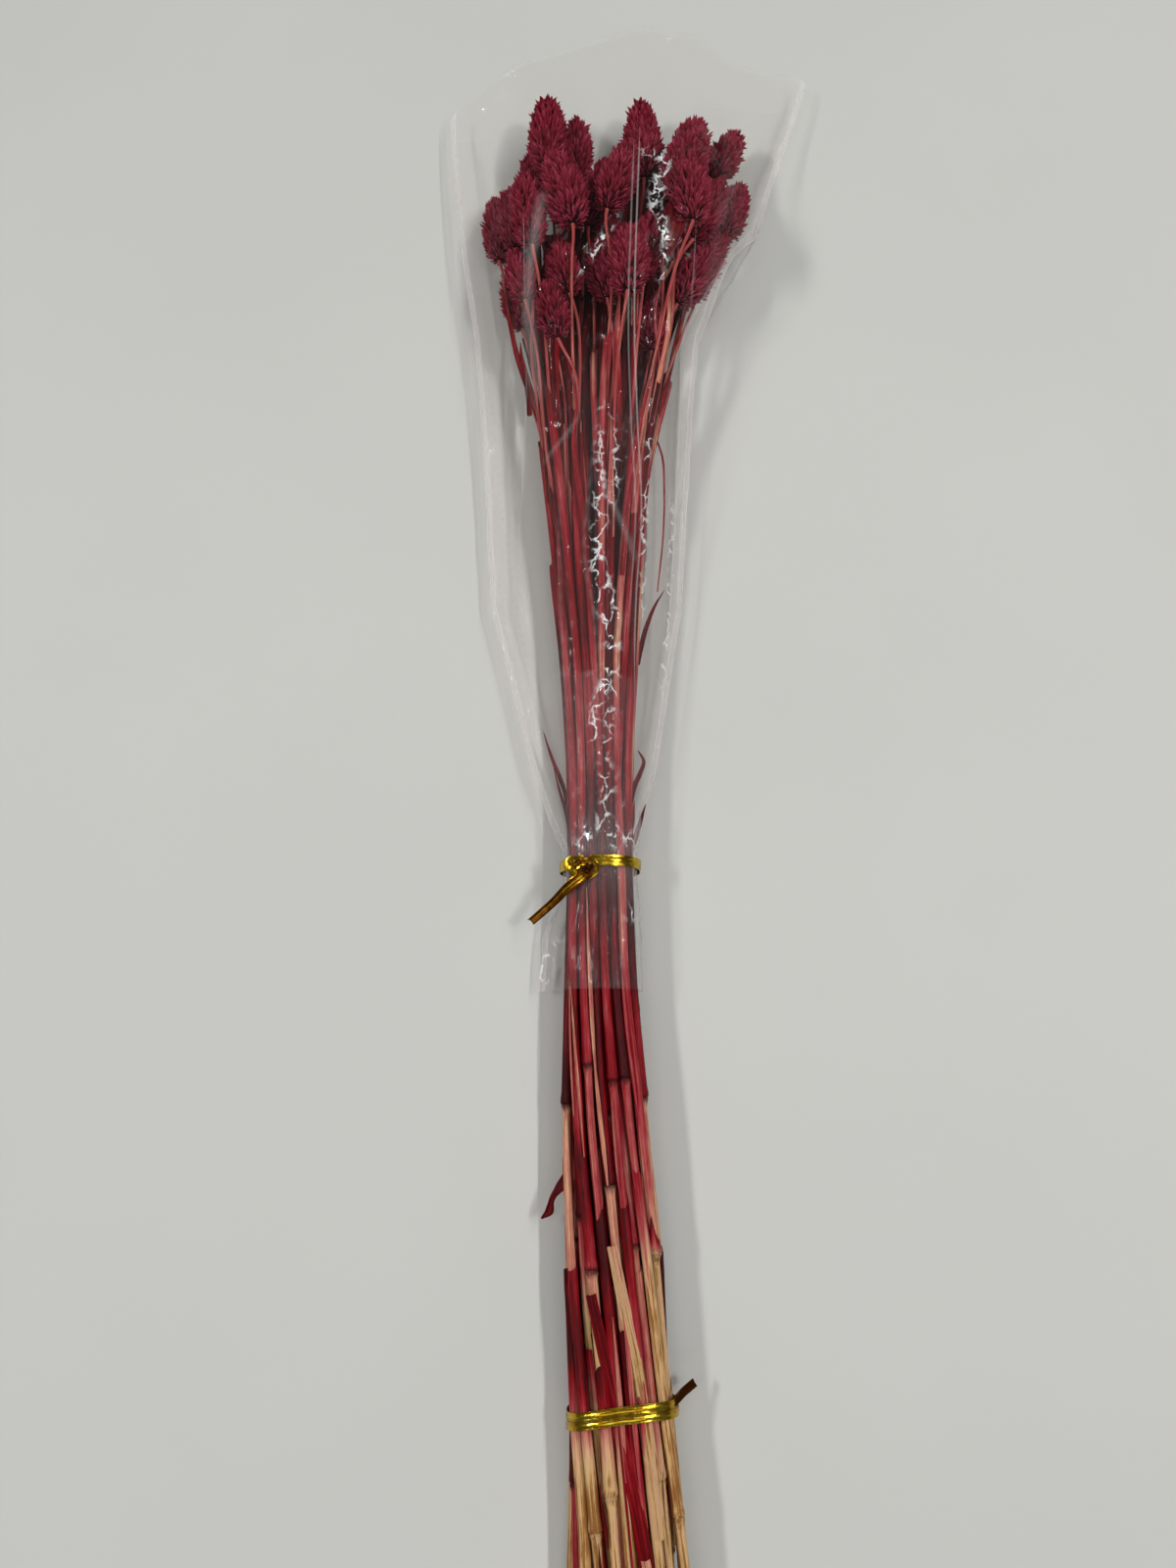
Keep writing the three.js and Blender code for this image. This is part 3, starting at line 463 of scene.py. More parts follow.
def film_veil(tree, place, hazy):
    """How pale the film looks: in cloudy patches, at its welds and folds, and in hair-thin lines."""
    clouds = noise_on(tree, place, 0.06, 2.0, Distortion=1.2)
    clouds = times(tree, maths(tree, "SUBTRACT", clouds, 0.5), 3.0, clamp=True)
    clouds = total(tree, times(tree, clouds, 0.032), 0.02)
    veil = total(tree, times(tree, clouds, hazy), attribute(tree, "veil"), clamp=True)
    for k, (_, paleness) in enumerate(THIN_FOLDS):
        gap = times(tree, maths(tree, "ABSOLUTE", attribute(tree, f"from_fold_{k}")), 1.8)
        line = times(tree, maths(tree, "SUBTRACT", 1.0, gap, clamp=True), paleness)
        veil = maths(tree, "MAXIMUM", veil, line)
    return veil


def clear_film():
    """Clear film: almost nothing face on, pale along folds and welds, with painted glints, pale lines
    standing in for reflections, on its creases.
    """
    material, tree = new_material("clear film")
    place = object_place(tree)
    lengthwise = scaled(tree, place, (1000, 300, 1000))
    even = scaled(tree, place, (1000, 700, 1000))
    hazy = attribute(tree, "hazy")

    long_folds = noise_on(tree, lengthwise, 0.09, 2.0, Distortion=0.8)
    crumple = use_group(tree, CRINKLE, Vector=even, Size=6.0)
    height = total(tree, times(tree, long_folds, 1.6), times(tree, crumple, 2.4))
    normal = bumped(tree, 0.5, 0.0008, height)
    facing = add_node(tree, "ShaderNodeLayerWeight", {"Blend": 0.5, "Normal": normal}).outputs["Facing"]
    flank = times(tree, maths(tree, "POWER", facing, 5.0), total(tree, hazy, 0.2))
    always = times(tree, total(tree, attribute(tree, "painted_glints_and_gloss"), 0.12), 0.045)
    shine = total(tree, times(tree, flank, 0.33), always)

    clear = add_node(tree, "ShaderNodeBsdfTransparent", {"Color": (0.992, 0.986, 0.983, 1)})
    haze = add_node(tree, "ShaderNodeBsdfDiffuse", {"Color": linear("e9e4e2")})
    white = add_node(tree, "ShaderNodeBsdfDiffuse", {"Color": (0.95, 0.95, 0.95, 1)})
    gloss = add_node(tree, "ShaderNodeBsdfGlossy",
                     {"Color": (1, 1, 1, 1), "Roughness": 0.07, "Normal": normal})
    body = add_node(tree, "ShaderNodeMixShader",
                    {0: film_veil(tree, lengthwise, hazy), 1: clear.outputs[0], 2: haze.outputs[0]})
    # Painted glints: pale lines mixed over the film, standing in for the lamps' reflections.
    body = add_node(tree, "ShaderNodeMixShader",
                    {0: painted_glint_lines(tree, even), 1: body.outputs[0], 2: white.outputs[0]})
    end_with(tree, "ShaderNodeMixShader", {0: shine, 1: body.outputs[0], 2: gloss.outputs[0]})
    return material


def table_top():
    material, tree = new_material("pale table")
    mottle = noise_on(tree, object_place(tree), 6.0, 4.0)
    end_with(tree, "ShaderNodeBsdfPrincipled", {
        "Base Color": ramp(tree, mottle, (0.3, "c6c6c1"), (0.7, "c9c9c4")),
        "Roughness": 0.6, "Specular IOR Level": 0.2,
    })
    return material


# Flower heads

def model_spikelet(rings, tip_lean):
    """One keeled, pointed scale, a unit high, standing on the origin with its keel towards +X."""
    foot_half_width = rings[0][1]
    deselect()
    bpy.ops.mesh.primitive_cone_add(vertices=4, radius1=foot_half_width, radius2=0, depth=1,
                                    location=(0, 0, 0.5))
    bpy.ops.object.transform_apply(location=True, rotation=True, scale=True)
    scale = bpy.context.object
    bpy.ops.object.mode_set(mode="EDIT")
    below_height, below_keel, below_half_width = 0, foot_half_width, foot_half_width
    for height, half_width, keel, _ in rings[1:]:
        bpy.ops.mesh.select_all(action="SELECT")
        bpy.ops.mesh.bisect(plane_co=(0, 0, height), plane_no=(0, 0, 1))
        left = (1 - height) / (1 - below_height)
        stretch = (keel / (below_keel * left), half_width / (below_half_width * left), 1)
        bpy.ops.transform.resize(value=stretch, center_override=(0, 0, height))
        below_height, below_keel, below_half_width = height, keel, half_width
    bpy.ops.object.mode_set(mode="OBJECT")
    points = points_of(scale)
    points[:, 0] = np.where(points[:, 0] < 0, points[:, 0] * 0.3, points[:, 0])
    heights, _, _, leans = zip(*rings)
    points[:, 0] += np.interp(points[:, 2], (*heights, 1), (*leans, tip_lean))
    faces = [list(p.vertices) for p in scale.data.polygons]
    bpy.data.objects.remove(scale)
    return points, faces


# A straight, a bent and a narrow scale: height, half width, keel and lean of each ring
SPIKELETS = [
    model_spikelet([(0, 0.09, 0.06, 0), (0.33, 0.17, 0.13, 0), (0.68, 0.15, 0.12, 0.02)], 0.08),
    model_spikelet([(0, 0.09, 0.06, 0), (0.36, 0.19, 0.13, 0), (0.7, 0.14, 0.11, 0.07)], 0.24),
    model_spikelet([(0, 0.07, 0.06, 0), (0.33, 0.12, 0.14, 0), (0.7, 0.1, 0.11, 0)], 0),
]


def head_profile(t):
    """Share of the full girth that a head has at a share t of its length."""
    return np.sin(np.pi * np.clip(t, 0.001, 0.999) ** 0.7) ** 0.5


def head_axis(number):
    """A head's foot, tip and girth, from its CAD node."""
    corners = cad_corners(f"head_{number:02d}")
    middle = corners.mean(0)
    way = np.linalg.svd(corners - middle)[2][0]
    way = way * np.sign(way[1])
    order = np.argsort(corners @ way)
    foot = corners[order[:8]].mean(0)
    tip = corners[order[-1]]
    way = (tip - foot) / np.linalg.norm(tip - foot)
    off = corners - foot
    girth = 2 * np.linalg.norm(off - np.outer(off @ way, way), axis=1).max()
    return foot, tip, girth


def head_core(foot, axis, side, front, length, girth):
    """The plain oval under a head's scales."""
    deselect()
    bpy.ops.mesh.primitive_uv_sphere_add(segments=14, ring_count=12, radius=1)
    core = bpy.context.object
    ball = points_of(core)
    share = np.clip((ball[:, 2] + 1) / 2, 0, 1)
    flat = np.linalg.norm(ball[:, :2], axis=1)
    at_pole = flat < 1e-4
    radial = ball[:, :2] / np.where(at_pole, 1, flat)[:, None]
    reach = np.where(at_pole, 0, (girth / 2 - CORE_DEPTH) * head_profile(share * 0.95 + 0.02))
    radial = radial * reach[:, None]
    points = foot + np.outer(0.3 + share * (length * 0.9), axis)
    points = points + radial[:, :1] * side + radial[:, 1:] * front
    faces = [list(p.vertices) for p in core.data.polygons]
    bpy.data.objects.remove(core)
    return points, faces


def build_head(number, material):
    rng = random.Random(500 + number)
    foot, tip, girth = head_axis(number)
    length = np.linalg.norm(tip - foot)
    axis = (tip - foot) / length
    side = unit(np.cross(axis, UPWARD))
    front = np.cross(side, axis)
    core_points, faces = head_core(foot, axis, side, front, length, girth)
    points = [core_points]
    along = [np.zeros(len(core_points))]
    tone = [np.zeros(len(core_points))]

    shares = np.linspace(0, 1, 400)
    room = np.cumsum(head_profile(shares))
    area = math.pi * girth * length * head_profile(shares).mean()
    count = int(area / SPIKELET_ROOM)
    base = len(core_points)
    size = SPIKELET_LENGTH * (girth / 16) ** 0.5
    reach = 1 - 0.72 * size / length
    for k in range(-COLLAR, count):
        angle = k * GOLDEN_ANGLE + rng.uniform(-0.3, 0.3)
        out = side * math.cos(angle) + front * math.sin(angle)
        if k < 0:
            t = 0.0
            radius = (girth / 2 - 1.5) * head_profile(0.03) * (-k / COLLAR) ** 0.5
            way = unit(axis * 0.5 + out)
        else:
            t = float(np.interp((k + 0.5) / count, room / room[-1], shares)) * 0.97
            radius = (girth / 2 - ROOT_DEPTH) * head_profile(t + 0.03) * min(1, (1.02 - t) * 9)
            rise = (head_profile(t + 0.05) - head_profile(max(t - 0.02, 0.0))) / 0.07
            way = unit(axis + out * np.clip(rise * (girth / 2) / length, -0.35, 0.9))
        splay = math.radians(rng.gauss(SPLAY_MEAN, SPLAY_SPREAD) - 12 * (1 - t) ** 5) * (0.3 if k < 0 else 1)
        outward = unit(out - way * float(out @ way))
        lengthwise = way * math.cos(splay) + outward * math.sin(splay)
        outward = outward * math.cos(splay) - way * math.sin(splay)
        across = np.cross(lengthwise, outward)
        lengthwise = unit(lengthwise + across * rng.gauss(0, 0.2))
        roll = rng.gauss(0, 0.5)
        keel = outward * math.cos(roll) + across * math.sin(roll)
        across = np.cross(lengthwise, keel)
        shape, shape_faces = SPIKELETS[rng.choices((0, 1, 2), (4, 3, 3))[0]]
        big = size * rng.uniform(0.74, 1.16)
        big *= (0.62 + 0.38 * smoothstep(t, -0.02, 0.3)) * (1 - 0.2 * smoothstep(t, 0.75, 1))
        wide = big * rng.uniform(0.85, 1.15)
        root = foot + axis * (0.4 + t * length * reach) + out * radius
        points.append(root + np.outer(shape[:, 0] * wide, keel) + np.outer(shape[:, 1] * wide, across)
                      + np.outer(shape[:, 2] * big, lengthwise))
        # Painted light for the scales' colour: low at each scale's root, where the scales overlap and shade
        # falls, high towards its tip and on its keel, and higher for the scales near the head's foot.
        along.append(np.clip(shape[:, 2] * 0.7 + (shape[:, 0] > 0.06) * 0.3 + 0.4 * (1 - t) ** 8, 0, 1))
        tone.append(np.full(len(shape), rng.random()))
        faces.extend([[base + i for i in face] for face in shape_faces])
        base += len(shape)

    name = f"flower_{number:02d}"
    mesh = bpy.data.meshes.new(name)
    mesh.from_pydata((np.concatenate(points) * MM).tolist(), [], faces)
    head = bpy.data.objects.new(name, mesh)
    bpy.context.scene.collection.objects.link(head)
    store(head, "along", np.concatenate(along))
    store(head, "tone", np.concatenate(tone))
    smooth(head, 35)
    finish_piece(head, material, "dyed_head", f"head_{number:02d}")
    return foot, axis


# Stems

class StemLine:
    """The middle line and radius of a stem along Y, read from its CAD node and drawn smooth."""

    def __init__(self, number, foot, axis):
        corners = cad_corners(f"stem_{number:02d}")
        ys, counts = np.unique(corners[:, 1], return_counts=True)
        rows = []
        for y in ys[counts >= 5]:
            ring = corners[corners[:, 1] == y]
            low, high = ring.min(0), ring.max(0)
            rows.append((y, (low[0] + high[0]) / 2, (low[2] + high[2]) / 2, (high[2] - low[2]) / 2))
        rows = [row for row in rows if row[0] < foot[1] - 2]
        self.joints = [b[0] for a, b, c in zip(rows, rows[1:], rows[2:])
                       if b[0] - a[0] < 3.1 and c[0] - b[0] < 3.1 and b[3] > a[3]]
        smooth_rows = [row for row in rows if not any(abs(abs(row[0] - j) - 3) < 0.1 for j in self.joints)]
        top = foot - axis * 0.3
        table = np.array([*smooth_rows, (top[1], top[0], top[2], smooth_rows[-1][3])])
        self.y = table[:, 0]
        self.places = table[:, 1:3]
        self.radii = table[:, 3]
        slopes = np.gradient(self.places, self.y, axis=0)
        slopes[-1] = (axis[0] / axis[1], axis[2] / axis[1])
        self.slopes = slopes
        self.low = self.y[0]
        self.top = self.y[-1]
        rng = random.Random(300 + number)
        self.bare = rng.uniform(50, 130)
        self.sheath_top = self.top - self.bare
        hooked = rng.random() < 0.3
        from_middle = (foot[0] + 19) / 15
        self.bend = (rng.uniform(3.5, 6.5) if hooked else rng.uniform(0.6, 3.2)) * rng.choice((-1, 1))
        if abs(from_middle) > 1:
            self.bend = -abs(self.bend) * math.copysign(1, from_middle)
        self.lift = rng.uniform(-0.4, 1.2)
        self.bend_length = rng.uniform(40, 60) if hooked else rng.uniform(60, 110)

    def dyed(self, y):
        """How deep the dye goes into the stem at these ys, from 0 to 1: the bunch was dipped heads first."""
        return smoothstep(y, self.dye_from, self.dye_to)

    def at(self, y):
        """Middle points at these ys, and the unit directions along, sideways and up."""
        y = np.asarray(y, float)
        place, slope = smooth_curve(self.y, self.places, y, self.slopes)
        way = unit(np.stack([slope[:, 0], np.ones(len(y)), slope[:, 1]], axis=1))
        up = np.array(UPWARD) - way * way[:, 2:3]
        up = unit(up)
        side = np.cross(way, up)
        down = np.clip((self.top - y) / self.bend_length, 0, 1)
        bow = np.sin(math.pi * down ** 0.7)[:, None] ** 2 * (side * self.bend + up * self.lift)
        return np.stack([place[:, 0], y, place[:, 1]], axis=1) + bow, side, up

    def radius(self, y):
        return np.interp(y, self.y, self.radii)

    def around(self, y, angle, radius):
        centre, side, up = self.at(y)
        return centre + radius[:, None] * (np.cos(angle)[:, None] * side + np.sin(angle)[:, None] * up)


def build_culm(line):
    """The bare straw of a stem, with its joints."""
    near = [j + d for j in line.joints for d in (-4, -2.4, -1.5, -0.7, 0, 0.7, 1.5, 2.4, 4)]
    ys = np.array(sorted({*np.arange(line.low, line.top, STATION_STEP), *near, line.top}))
    ys = ys[np.concatenate([[True], np.diff(ys) > 0.25])]
    tube, u, v = new_sheet(STEM_SIDES, len(ys) - 1)
    y = ys[step_of(v, len(ys) - 1)]
    angle = -math.pi / 2 - u * 2 * math.pi
    bare = smoothstep(y, line.sheath_top - 10, line.sheath_top + 20)
    neck = NECK_RADIUS * (1 + 0.3 * smoothstep(y, line.top - 6, line.top))
    radius = line.radius(y) * CULM_SHARE * (1 - bare) + neck * bare
    joint_dark_and_painted_shade = np.zeros(len(y))
    for joint in line.joints:
        ring = np.exp(-((y - joint + 0.6) / 1.0) ** 2)
        radius = radius * (1 + 0.26 * ring)
        joint_dark_and_painted_shade = np.maximum(joint_dark_and_painted_shade, (0.3 + 0.6 * line.dyed(joint)) * np.exp(-((y - joint) / 1.6) ** 2))
    place_points(tube, line.around(y, angle, radius))
    near_head = smoothstep(y, line.top - 110, line.top - 30)
    dye = 0.08 + (0.33 + line.own) * line.dyed(y - 18)
    store(tube, "dye", np.clip(dye * (1 - near_head) + 0.46 * near_head, 0.02, 0.6))
    store(tube, "joint_dark_and_painted_shade", joint_dark_and_painted_shade)
    stretch_uv(tube, 2 * math.pi * 1.6, line.top - line.low)
    close_tube(tube)
    return tube


def build_sheath(line, rng, low, high, depth):
    """A leaf sheath rolled round the stem from a joint up to its torn end, one edge lapped over the other."""
    length = high - low
    steps = np.concatenate([(0, 0.35, 0.9, 1.7, 2.8, 4.5), np.arange(8, length - 3, 5), (length,)]) / length
    sheet, u, v = new_sheet(SHEATH_COLUMNS, len(steps) - 1)
    v = steps[step_of(v, len(steps) - 1)]
    lap = rng.uniform(0.3, 1.0)
    turn = rng.uniform(0, 2 * math.pi)
    torn = np.array([rng.uniform(-1.2, 1.2) for _ in range(SHEATH_COLUMNS + 1)])
    torn += rng.choice((-1, 1)) * rng.uniform(1, 16) * (np.linspace(0, 1, SHEATH_COLUMNS + 1) - 0.5)
    for _ in range(rng.randrange(0, 3)):
        split = rng.randrange(SHEATH_COLUMNS)
        torn[split:split + rng.choice((1, 2, 3))] += rng.uniform(-8, 8)
    end = high + torn[step_of(u, SHEATH_COLUMNS)]
    y = np.minimum(low + (end - low) * v, line.top - 4)
    angle = turn - u * (2 * math.pi + lap)
    foot = 0.14 * np.exp(-((y - low - 1.6) / 2.2) ** 2) - 0.3 * np.exp(-((y - low) / 0.55) ** 2)
    loose = 0.22 * smoothstep(v, 0.85, 1.0)
    girth = np.maximum(line.radius(y) * 0.92, line.thick * smoothstep(y, -40, 20))
    radius = girth * (1 + foot) + 0.12 * u + loose
    place_points(sheet, line.around(y, angle, radius))
    wave = 0.1 * np.sin(y / rng.uniform(9, 22) + rng.uniform(0, 6))
    depths = line.dyed(y + rng.uniform(-20, 30))
    depth = depth * (1 - 0.26 * smoothstep(y, -60, 30))
    dye = 0.05 + depth * depths + wave * (0.3 + depths) + rng.uniform(0, 0.3) * v ** 2
    store(sheet, "dye", np.clip(dye, 0.0, 1))
    store(sheet, "joint_dark_and_painted_shade", (0.2 + 0.65 * line.dyed(low)) * np.exp(-((y - low) / 1.7) ** 2))
    stretch_uv(sheet, 2 * math.pi * 1.9, high - low)
    thicken(sheet, SHEATH_WALL)
    return sheet


def build_blade(path, widths, dye, cup, facing, joint_dark_and_painted_shade=(0, 0)):
    """A leaf blade along a path, with its dye and its painted shade given from its foot to its tip."""
    blade = ribbon(path, widths, facing, cup, 26, 4, BLADE_WALL)
    corners = points_of(blade) / MM
    start, end = np.asarray(path[0], float), np.asarray(path[-1], float)
    share = np.clip((corners - start) @ (end - start) / ((end - start) @ (end - start)), 0, 1)
    store(blade, "dye", np.interp(share, np.linspace(0, 1, len(dye)), dye))
    store(blade, "joint_dark_and_painted_shade", np.interp(share, np.linspace(0, 1, len(joint_dark_and_painted_shade)), joint_dark_and_painted_shade))
    return blade


def blade_beside(line, rng):
    """A long narrow leaf that grew from the top of a stem's last sheath and dried against it."""
    start = line.sheath_top - rng.uniform(4, 60)
    length = min(rng.uniform(35, 90), line.top - start - 8)
    ys = start + np.linspace(0, 1, 5) * length
    centre, side, up = line.at(ys)
    lean = rng.choice((-1, 1)) * rng.uniform(0.6, 2.2)
    drift = np.linspace(0, 1, 5)[:, None] ** 1.4
    path = centre + up * (line.radius(ys)[:, None] + 0.25)
    path = path + side * lean * drift + up * rng.uniform(-0.4, 0.8) * drift
    width = rng.uniform(1.8, 3.4)
    depth = rng.choice((0.42, 0.5, 0.75, 0.9))
    widths = (width, width * 1.1, width * 0.8, width * 0.45, 0.2)
    dye = (depth, depth * 0.9, depth * rng.uniform(0.6, 1.0))
    return build_blade(path, widths, dye, rng.uniform(0.8, 2.2), (lean * 0.25, 0, 1))


def sliver(line, rng):
    """A torn strip of sheath that clings to the lower part of a stem."""
    low = rng.uniform(-345, -110)
    ys = low + np.linspace(0, 1, 5) * rng.uniform(18, 75)
    centre, side, up = line.at(ys)
    turn = math.radians(rng.uniform(40, 140))
    out = side * math.cos(turn) + up * math.sin(turn)
    drift = np.linspace(0, 1, 5)[:, None] ** 1.5 * rng.uniform(-2.2, 2.2)
    path = centre + out * (line.radius(ys)[:, None] * 1.05 + rng.uniform(0.1, 0.5)) + side * drift
    width = rng.uniform(0.9, 2.3)
    depth = max(rng.choice((0.06, 0.14, 0.35, 0.5, 0.75, 0.9)), 0.36 * float(line.dyed(low)))
    widths = (width * 0.4, width, width, width * 0.7, 0.15)
    return build_blade(path, widths, (depth, depth * 0.9), 1.6, out[2])


def build_stem(number, line, leaves, material):
    rng = random.Random(900 + number)
    line.own = rng.uniform(-0.14, 0.14)
    line.thick = rng.uniform(1.2, 1.75)
    line.dye_from = rng.uniform(-282, -206) if rng.random() < 0.93 else -470
    line.dye_to = line.dye_from + rng.uniform(30, 90)
    parts = [build_culm(line)]
    joints = sorted(line.joints)
    for k, joint in enumerate(joints):
        space = (joints[k + 1] if k + 1 < len(joints) else line.sheath_top) - joint
        last = k + 1 == len(joints)
        reach = space if last else space * rng.uniform(0.5, 0.9)
        depth = rng.uniform(0.66, 0.92) if rng.random() < 0.76 else rng.uniform(0.34, 0.55)
        parts.append(build_sheath(line, rng, joint - 0.2, joint + reach, depth))
    for _ in range(rng.choice((0, 1, 1, 2))):
        parts.append(blade_beside(line, rng))
    for _ in range(rng.choice((1, 2, 3))):
        parts.append(sliver(line, rng))
    for part in parts:
        store(part, "own", rng.uniform(0, 500))
    for k, leaf in enumerate(leaves):
        part = build_blade(*leaf)
        store(part, "own", 11.3 * (k + 1))
        parts.append(part)
    stem = join(parts, f"stalk_{number:02d}")
    smooth(stem, 50)
    finish_piece(stem, material, "dyed_stem", f"stem_{number:02d}")


# Film sleeve

# The back sheet's rim, from the left corner to the right
BACK_RIM = [(-84, 317.3), (-75, 324), (-60.7, 340.4), (-47.7, 354.5), (-31.2, 362.4), (-14.5, 368.3),
            (-0.2, 374.2), (9.4, 376.6), (19.8, 372.8), (30.8, 370.8), (40, 361), (56.3, 350.8),
            (74.8, 341.5), (84, 338.7)]

EDGE_STEPS = (0, 0.25, 0.55, 1.0, 1.6, 2.0, 2.3, 2.8)  # columns beside each weld

# Folds of the front sheet: the path, then height, half width and how pale it looks
FOLDS = [
    ([(-38.5, 240.6), (-40.9, 225.7), (-43.2, 207), (-44.2, 187.8), (-41.9, 168.9), (-39.7, 150)],
     1.2, 2.2, 0.12),
    ([(-57.6, 150.9), (-50.4, 123.5), (-45.8, 79.1), (-42.2, 45.1), (-39.6, 20)], 0.9, 1.4, 0.1),
    ([(-76.5, 250), (-66.5, 154), (-58.6, 98.3), (-51.7, 50)], 1.1, 0.9, 0.08),
    ([(-70, 240), (-62, 170), (-55, 110), (-46, 55), (-38, 0)], 0.9, 1.0, 0.05),
    ([(-15, 150), (-19, 110), (-21, 85), (-17, 60), (-14, 20)], 1.0, 0.8, 0.05),
    ([(-30, 130), (-31, 90), (-29, 40), (-26, -10)], 0.9, 0.9, 0.04),
    ([(14, 60), (9, 20), (4, -10), (-1, -34)], 1.0, 0.8, 0.08),
    ([(-44, 40), (-38, 5), (-32, -20), (-28, -36)], 1.0, 0.8, 0.08),
    ([(55, 300), (48, 270), (38, 235), (31, 205)], 0.5, 1.6, 0.03),
    ([(-38.7, 35.2), (-27.1, 36), (-15.4, 34.8), (-8.4, 31.9)], 0.4, 0.5, 0.07),
    ([(-37.5, 125.5), (-29.5, 133.6), (-22.6, 141.8)], 0.7, 0.8, 0.07),
    ([(-15.3, 116.5), (-6.5, 98.8), (0.5, 82.3)], 0.7, 0.9, 0.09),
]

# Hair-thin folds of the front sheet: the path from its low end up, and how pale it looks
THIN_FOLDS = [
    ([(-1.3, 20), (-0.1, 67.5), (2.2, 101.3), (0.7, 140.8), (-0.5, 186.7), (0.7, 225.1), (2.9, 275)], 0.3),
    ([(-3.5, 50), (-2.4, 67.5), (-0.2, 101.3), (-1.9, 140.8), (-2.9, 186.7), (-1.6, 225.1), (0.4, 270)], 0.2),
    ([(10.7, 30), (14.4, 68.7), (17.7, 112.9), (20.1, 154.4), (23.5, 192.9), (32, 207), (49, 231)], 0.3),
    ([(12, 39.6), (17.4, 78.2), (21, 132.2), (22.4, 160), (25.5, 228)], 0.16),
    ([(-49.5, 85), (-46.5, 120), (-44.8, 160), (-45.5, 200), (-46.5, 240)], 0.18),
]

RIGHT_FLAP = 2  # the thin fold that the film lies double beyond
FAR = 99  # from any thin fold

# Where the front sheet has sharp creases, with painted glints and stronger gloss: the path, half width and
# how strongly
PAINTED_GLINT_AND_GLOSS_PATHS = [
    ([(-13.1, 148.2), (-14.5, 116.5), (-16.1, 77.2), (-10.8, 39.4), (-17, 15.1), (-11, -8.6), (-17.1, -27.9)],
     2.0, 1),
    ([(-10.3, 143.6), (-8, 116.5), (-14.5, 90.1), (-8.4, 56), (-9.3, 31.2), (-13.2, -4.7), (-9.6, -35.5)],
     1.7, 1),
    ([(3.6, 258.4), (12.2, 251), (10.4, 241.1), (7.3, 224.1)], 2.3, 1),
    ([(9.2, 228), (12.4, 212), (9.9, 196.4)], 1.3, 1),
    ([(-7.8, 224.1), (-15.2, 210.6), (-23.4, 198.3)], 1.4, 1),
    ([(7, 152.9), (4.1, 116.5), (2.6, 56)], 1.2, 0.8),
    ([(15.9, 119.8), (14.3, 75.6), (10.4, 33.3)], 1.2, 0.8),
    ([(-0.6, -29.4), (-19.3, -27.5), (-23, -31.3)], 2.6, 0.9),
    ([(-32.2, -69), (-35.9, -76.2), (-38.8, -85.5)], 3.2, 1),
    ([(-4.4, -57.1), (-2.6, -58.9)], 2.2, 0.9),
]


def fold_ridge(path, width, x, y):
    """How near each place is to a fold, from 0 to 1 on it, fading out at the fold's ends."""
    path = np.array(path, float)
    knots = np.concatenate([[0], np.cumsum(np.linalg.norm(np.diff(path, axis=0), axis=1))])
    along = np.linspace(0, knots[-1], 60)
    line, _ = smooth_curve(knots, path, along)
    fade = np.sin(np.pi * np.clip(along / knots[-1], 0, 1)) ** 0.35
    best = np.zeros(len(x))
    span = max(6, 2.2 * width)
    for (px, py), share in zip(line, fade):
        near = (np.abs(y - py) < span) & (np.abs(x - px) < span)
        gap = np.hypot(x[near] - px, y[near] - py)
        best[near] = np.maximum(best[near], share * np.exp(-(gap / width) ** 2))
    return best


def sleeve_side(tree, y, sign):
    """X of the sleeve's side edge at y, on the left for -1 and on the right for 1."""
    best = 0
    for z in np.arange(1, 16, 0.5):
        hit = tree.ray_cast(Vector((sign * 0.3, y * MM, z * MM)), Vector((-sign, 0, 0)))[0]
        if hit is not None:
            reach = sign * hit.x / MM
            best = max(best, reach) if best else reach
    return sign * best


def sleeve_heights(tree, x, y, above, order):
    """Heights of the CAD's sleeve at these places, met from above or below, smoothed over its facets."""
    start, way = (0.2, -1) if above else (-0.1, 1)
    z = np.full(len(x), np.nan)
    for i in range(len(x)):
        hit = tree.ray_cast(Vector((x[i] * MM, y[i] * MM, start)), Vector((0, 0, way)))[0]
        if hit is not None:
            z[i] = hit.z / MM
    rows = z[order].reshape(FILM_ROWS + 1, FILM_COLUMNS + 1)
    for row in rows:
        bad = np.isnan(row)
        row[bad] = np.interp(np.flatnonzero(bad), np.flatnonzero(~bad), row[~bad]) if (~bad).any() else 8
    for _ in range(4):
        rows[1:-1, 1:-1] = (rows[1:-1, 1:-1] * 2 + rows[:-2, 1:-1] + rows[2:, 1:-1]
                            + rows[1:-1, :-2] + rows[1:-1, 2:]) / 6
    rows[-5:] = rows[-6] + np.arange(5)[:, None] * np.clip(rows[-6] - rows[-7], -0.15, 0.15)
    z[order] = rows.ravel()
    return z


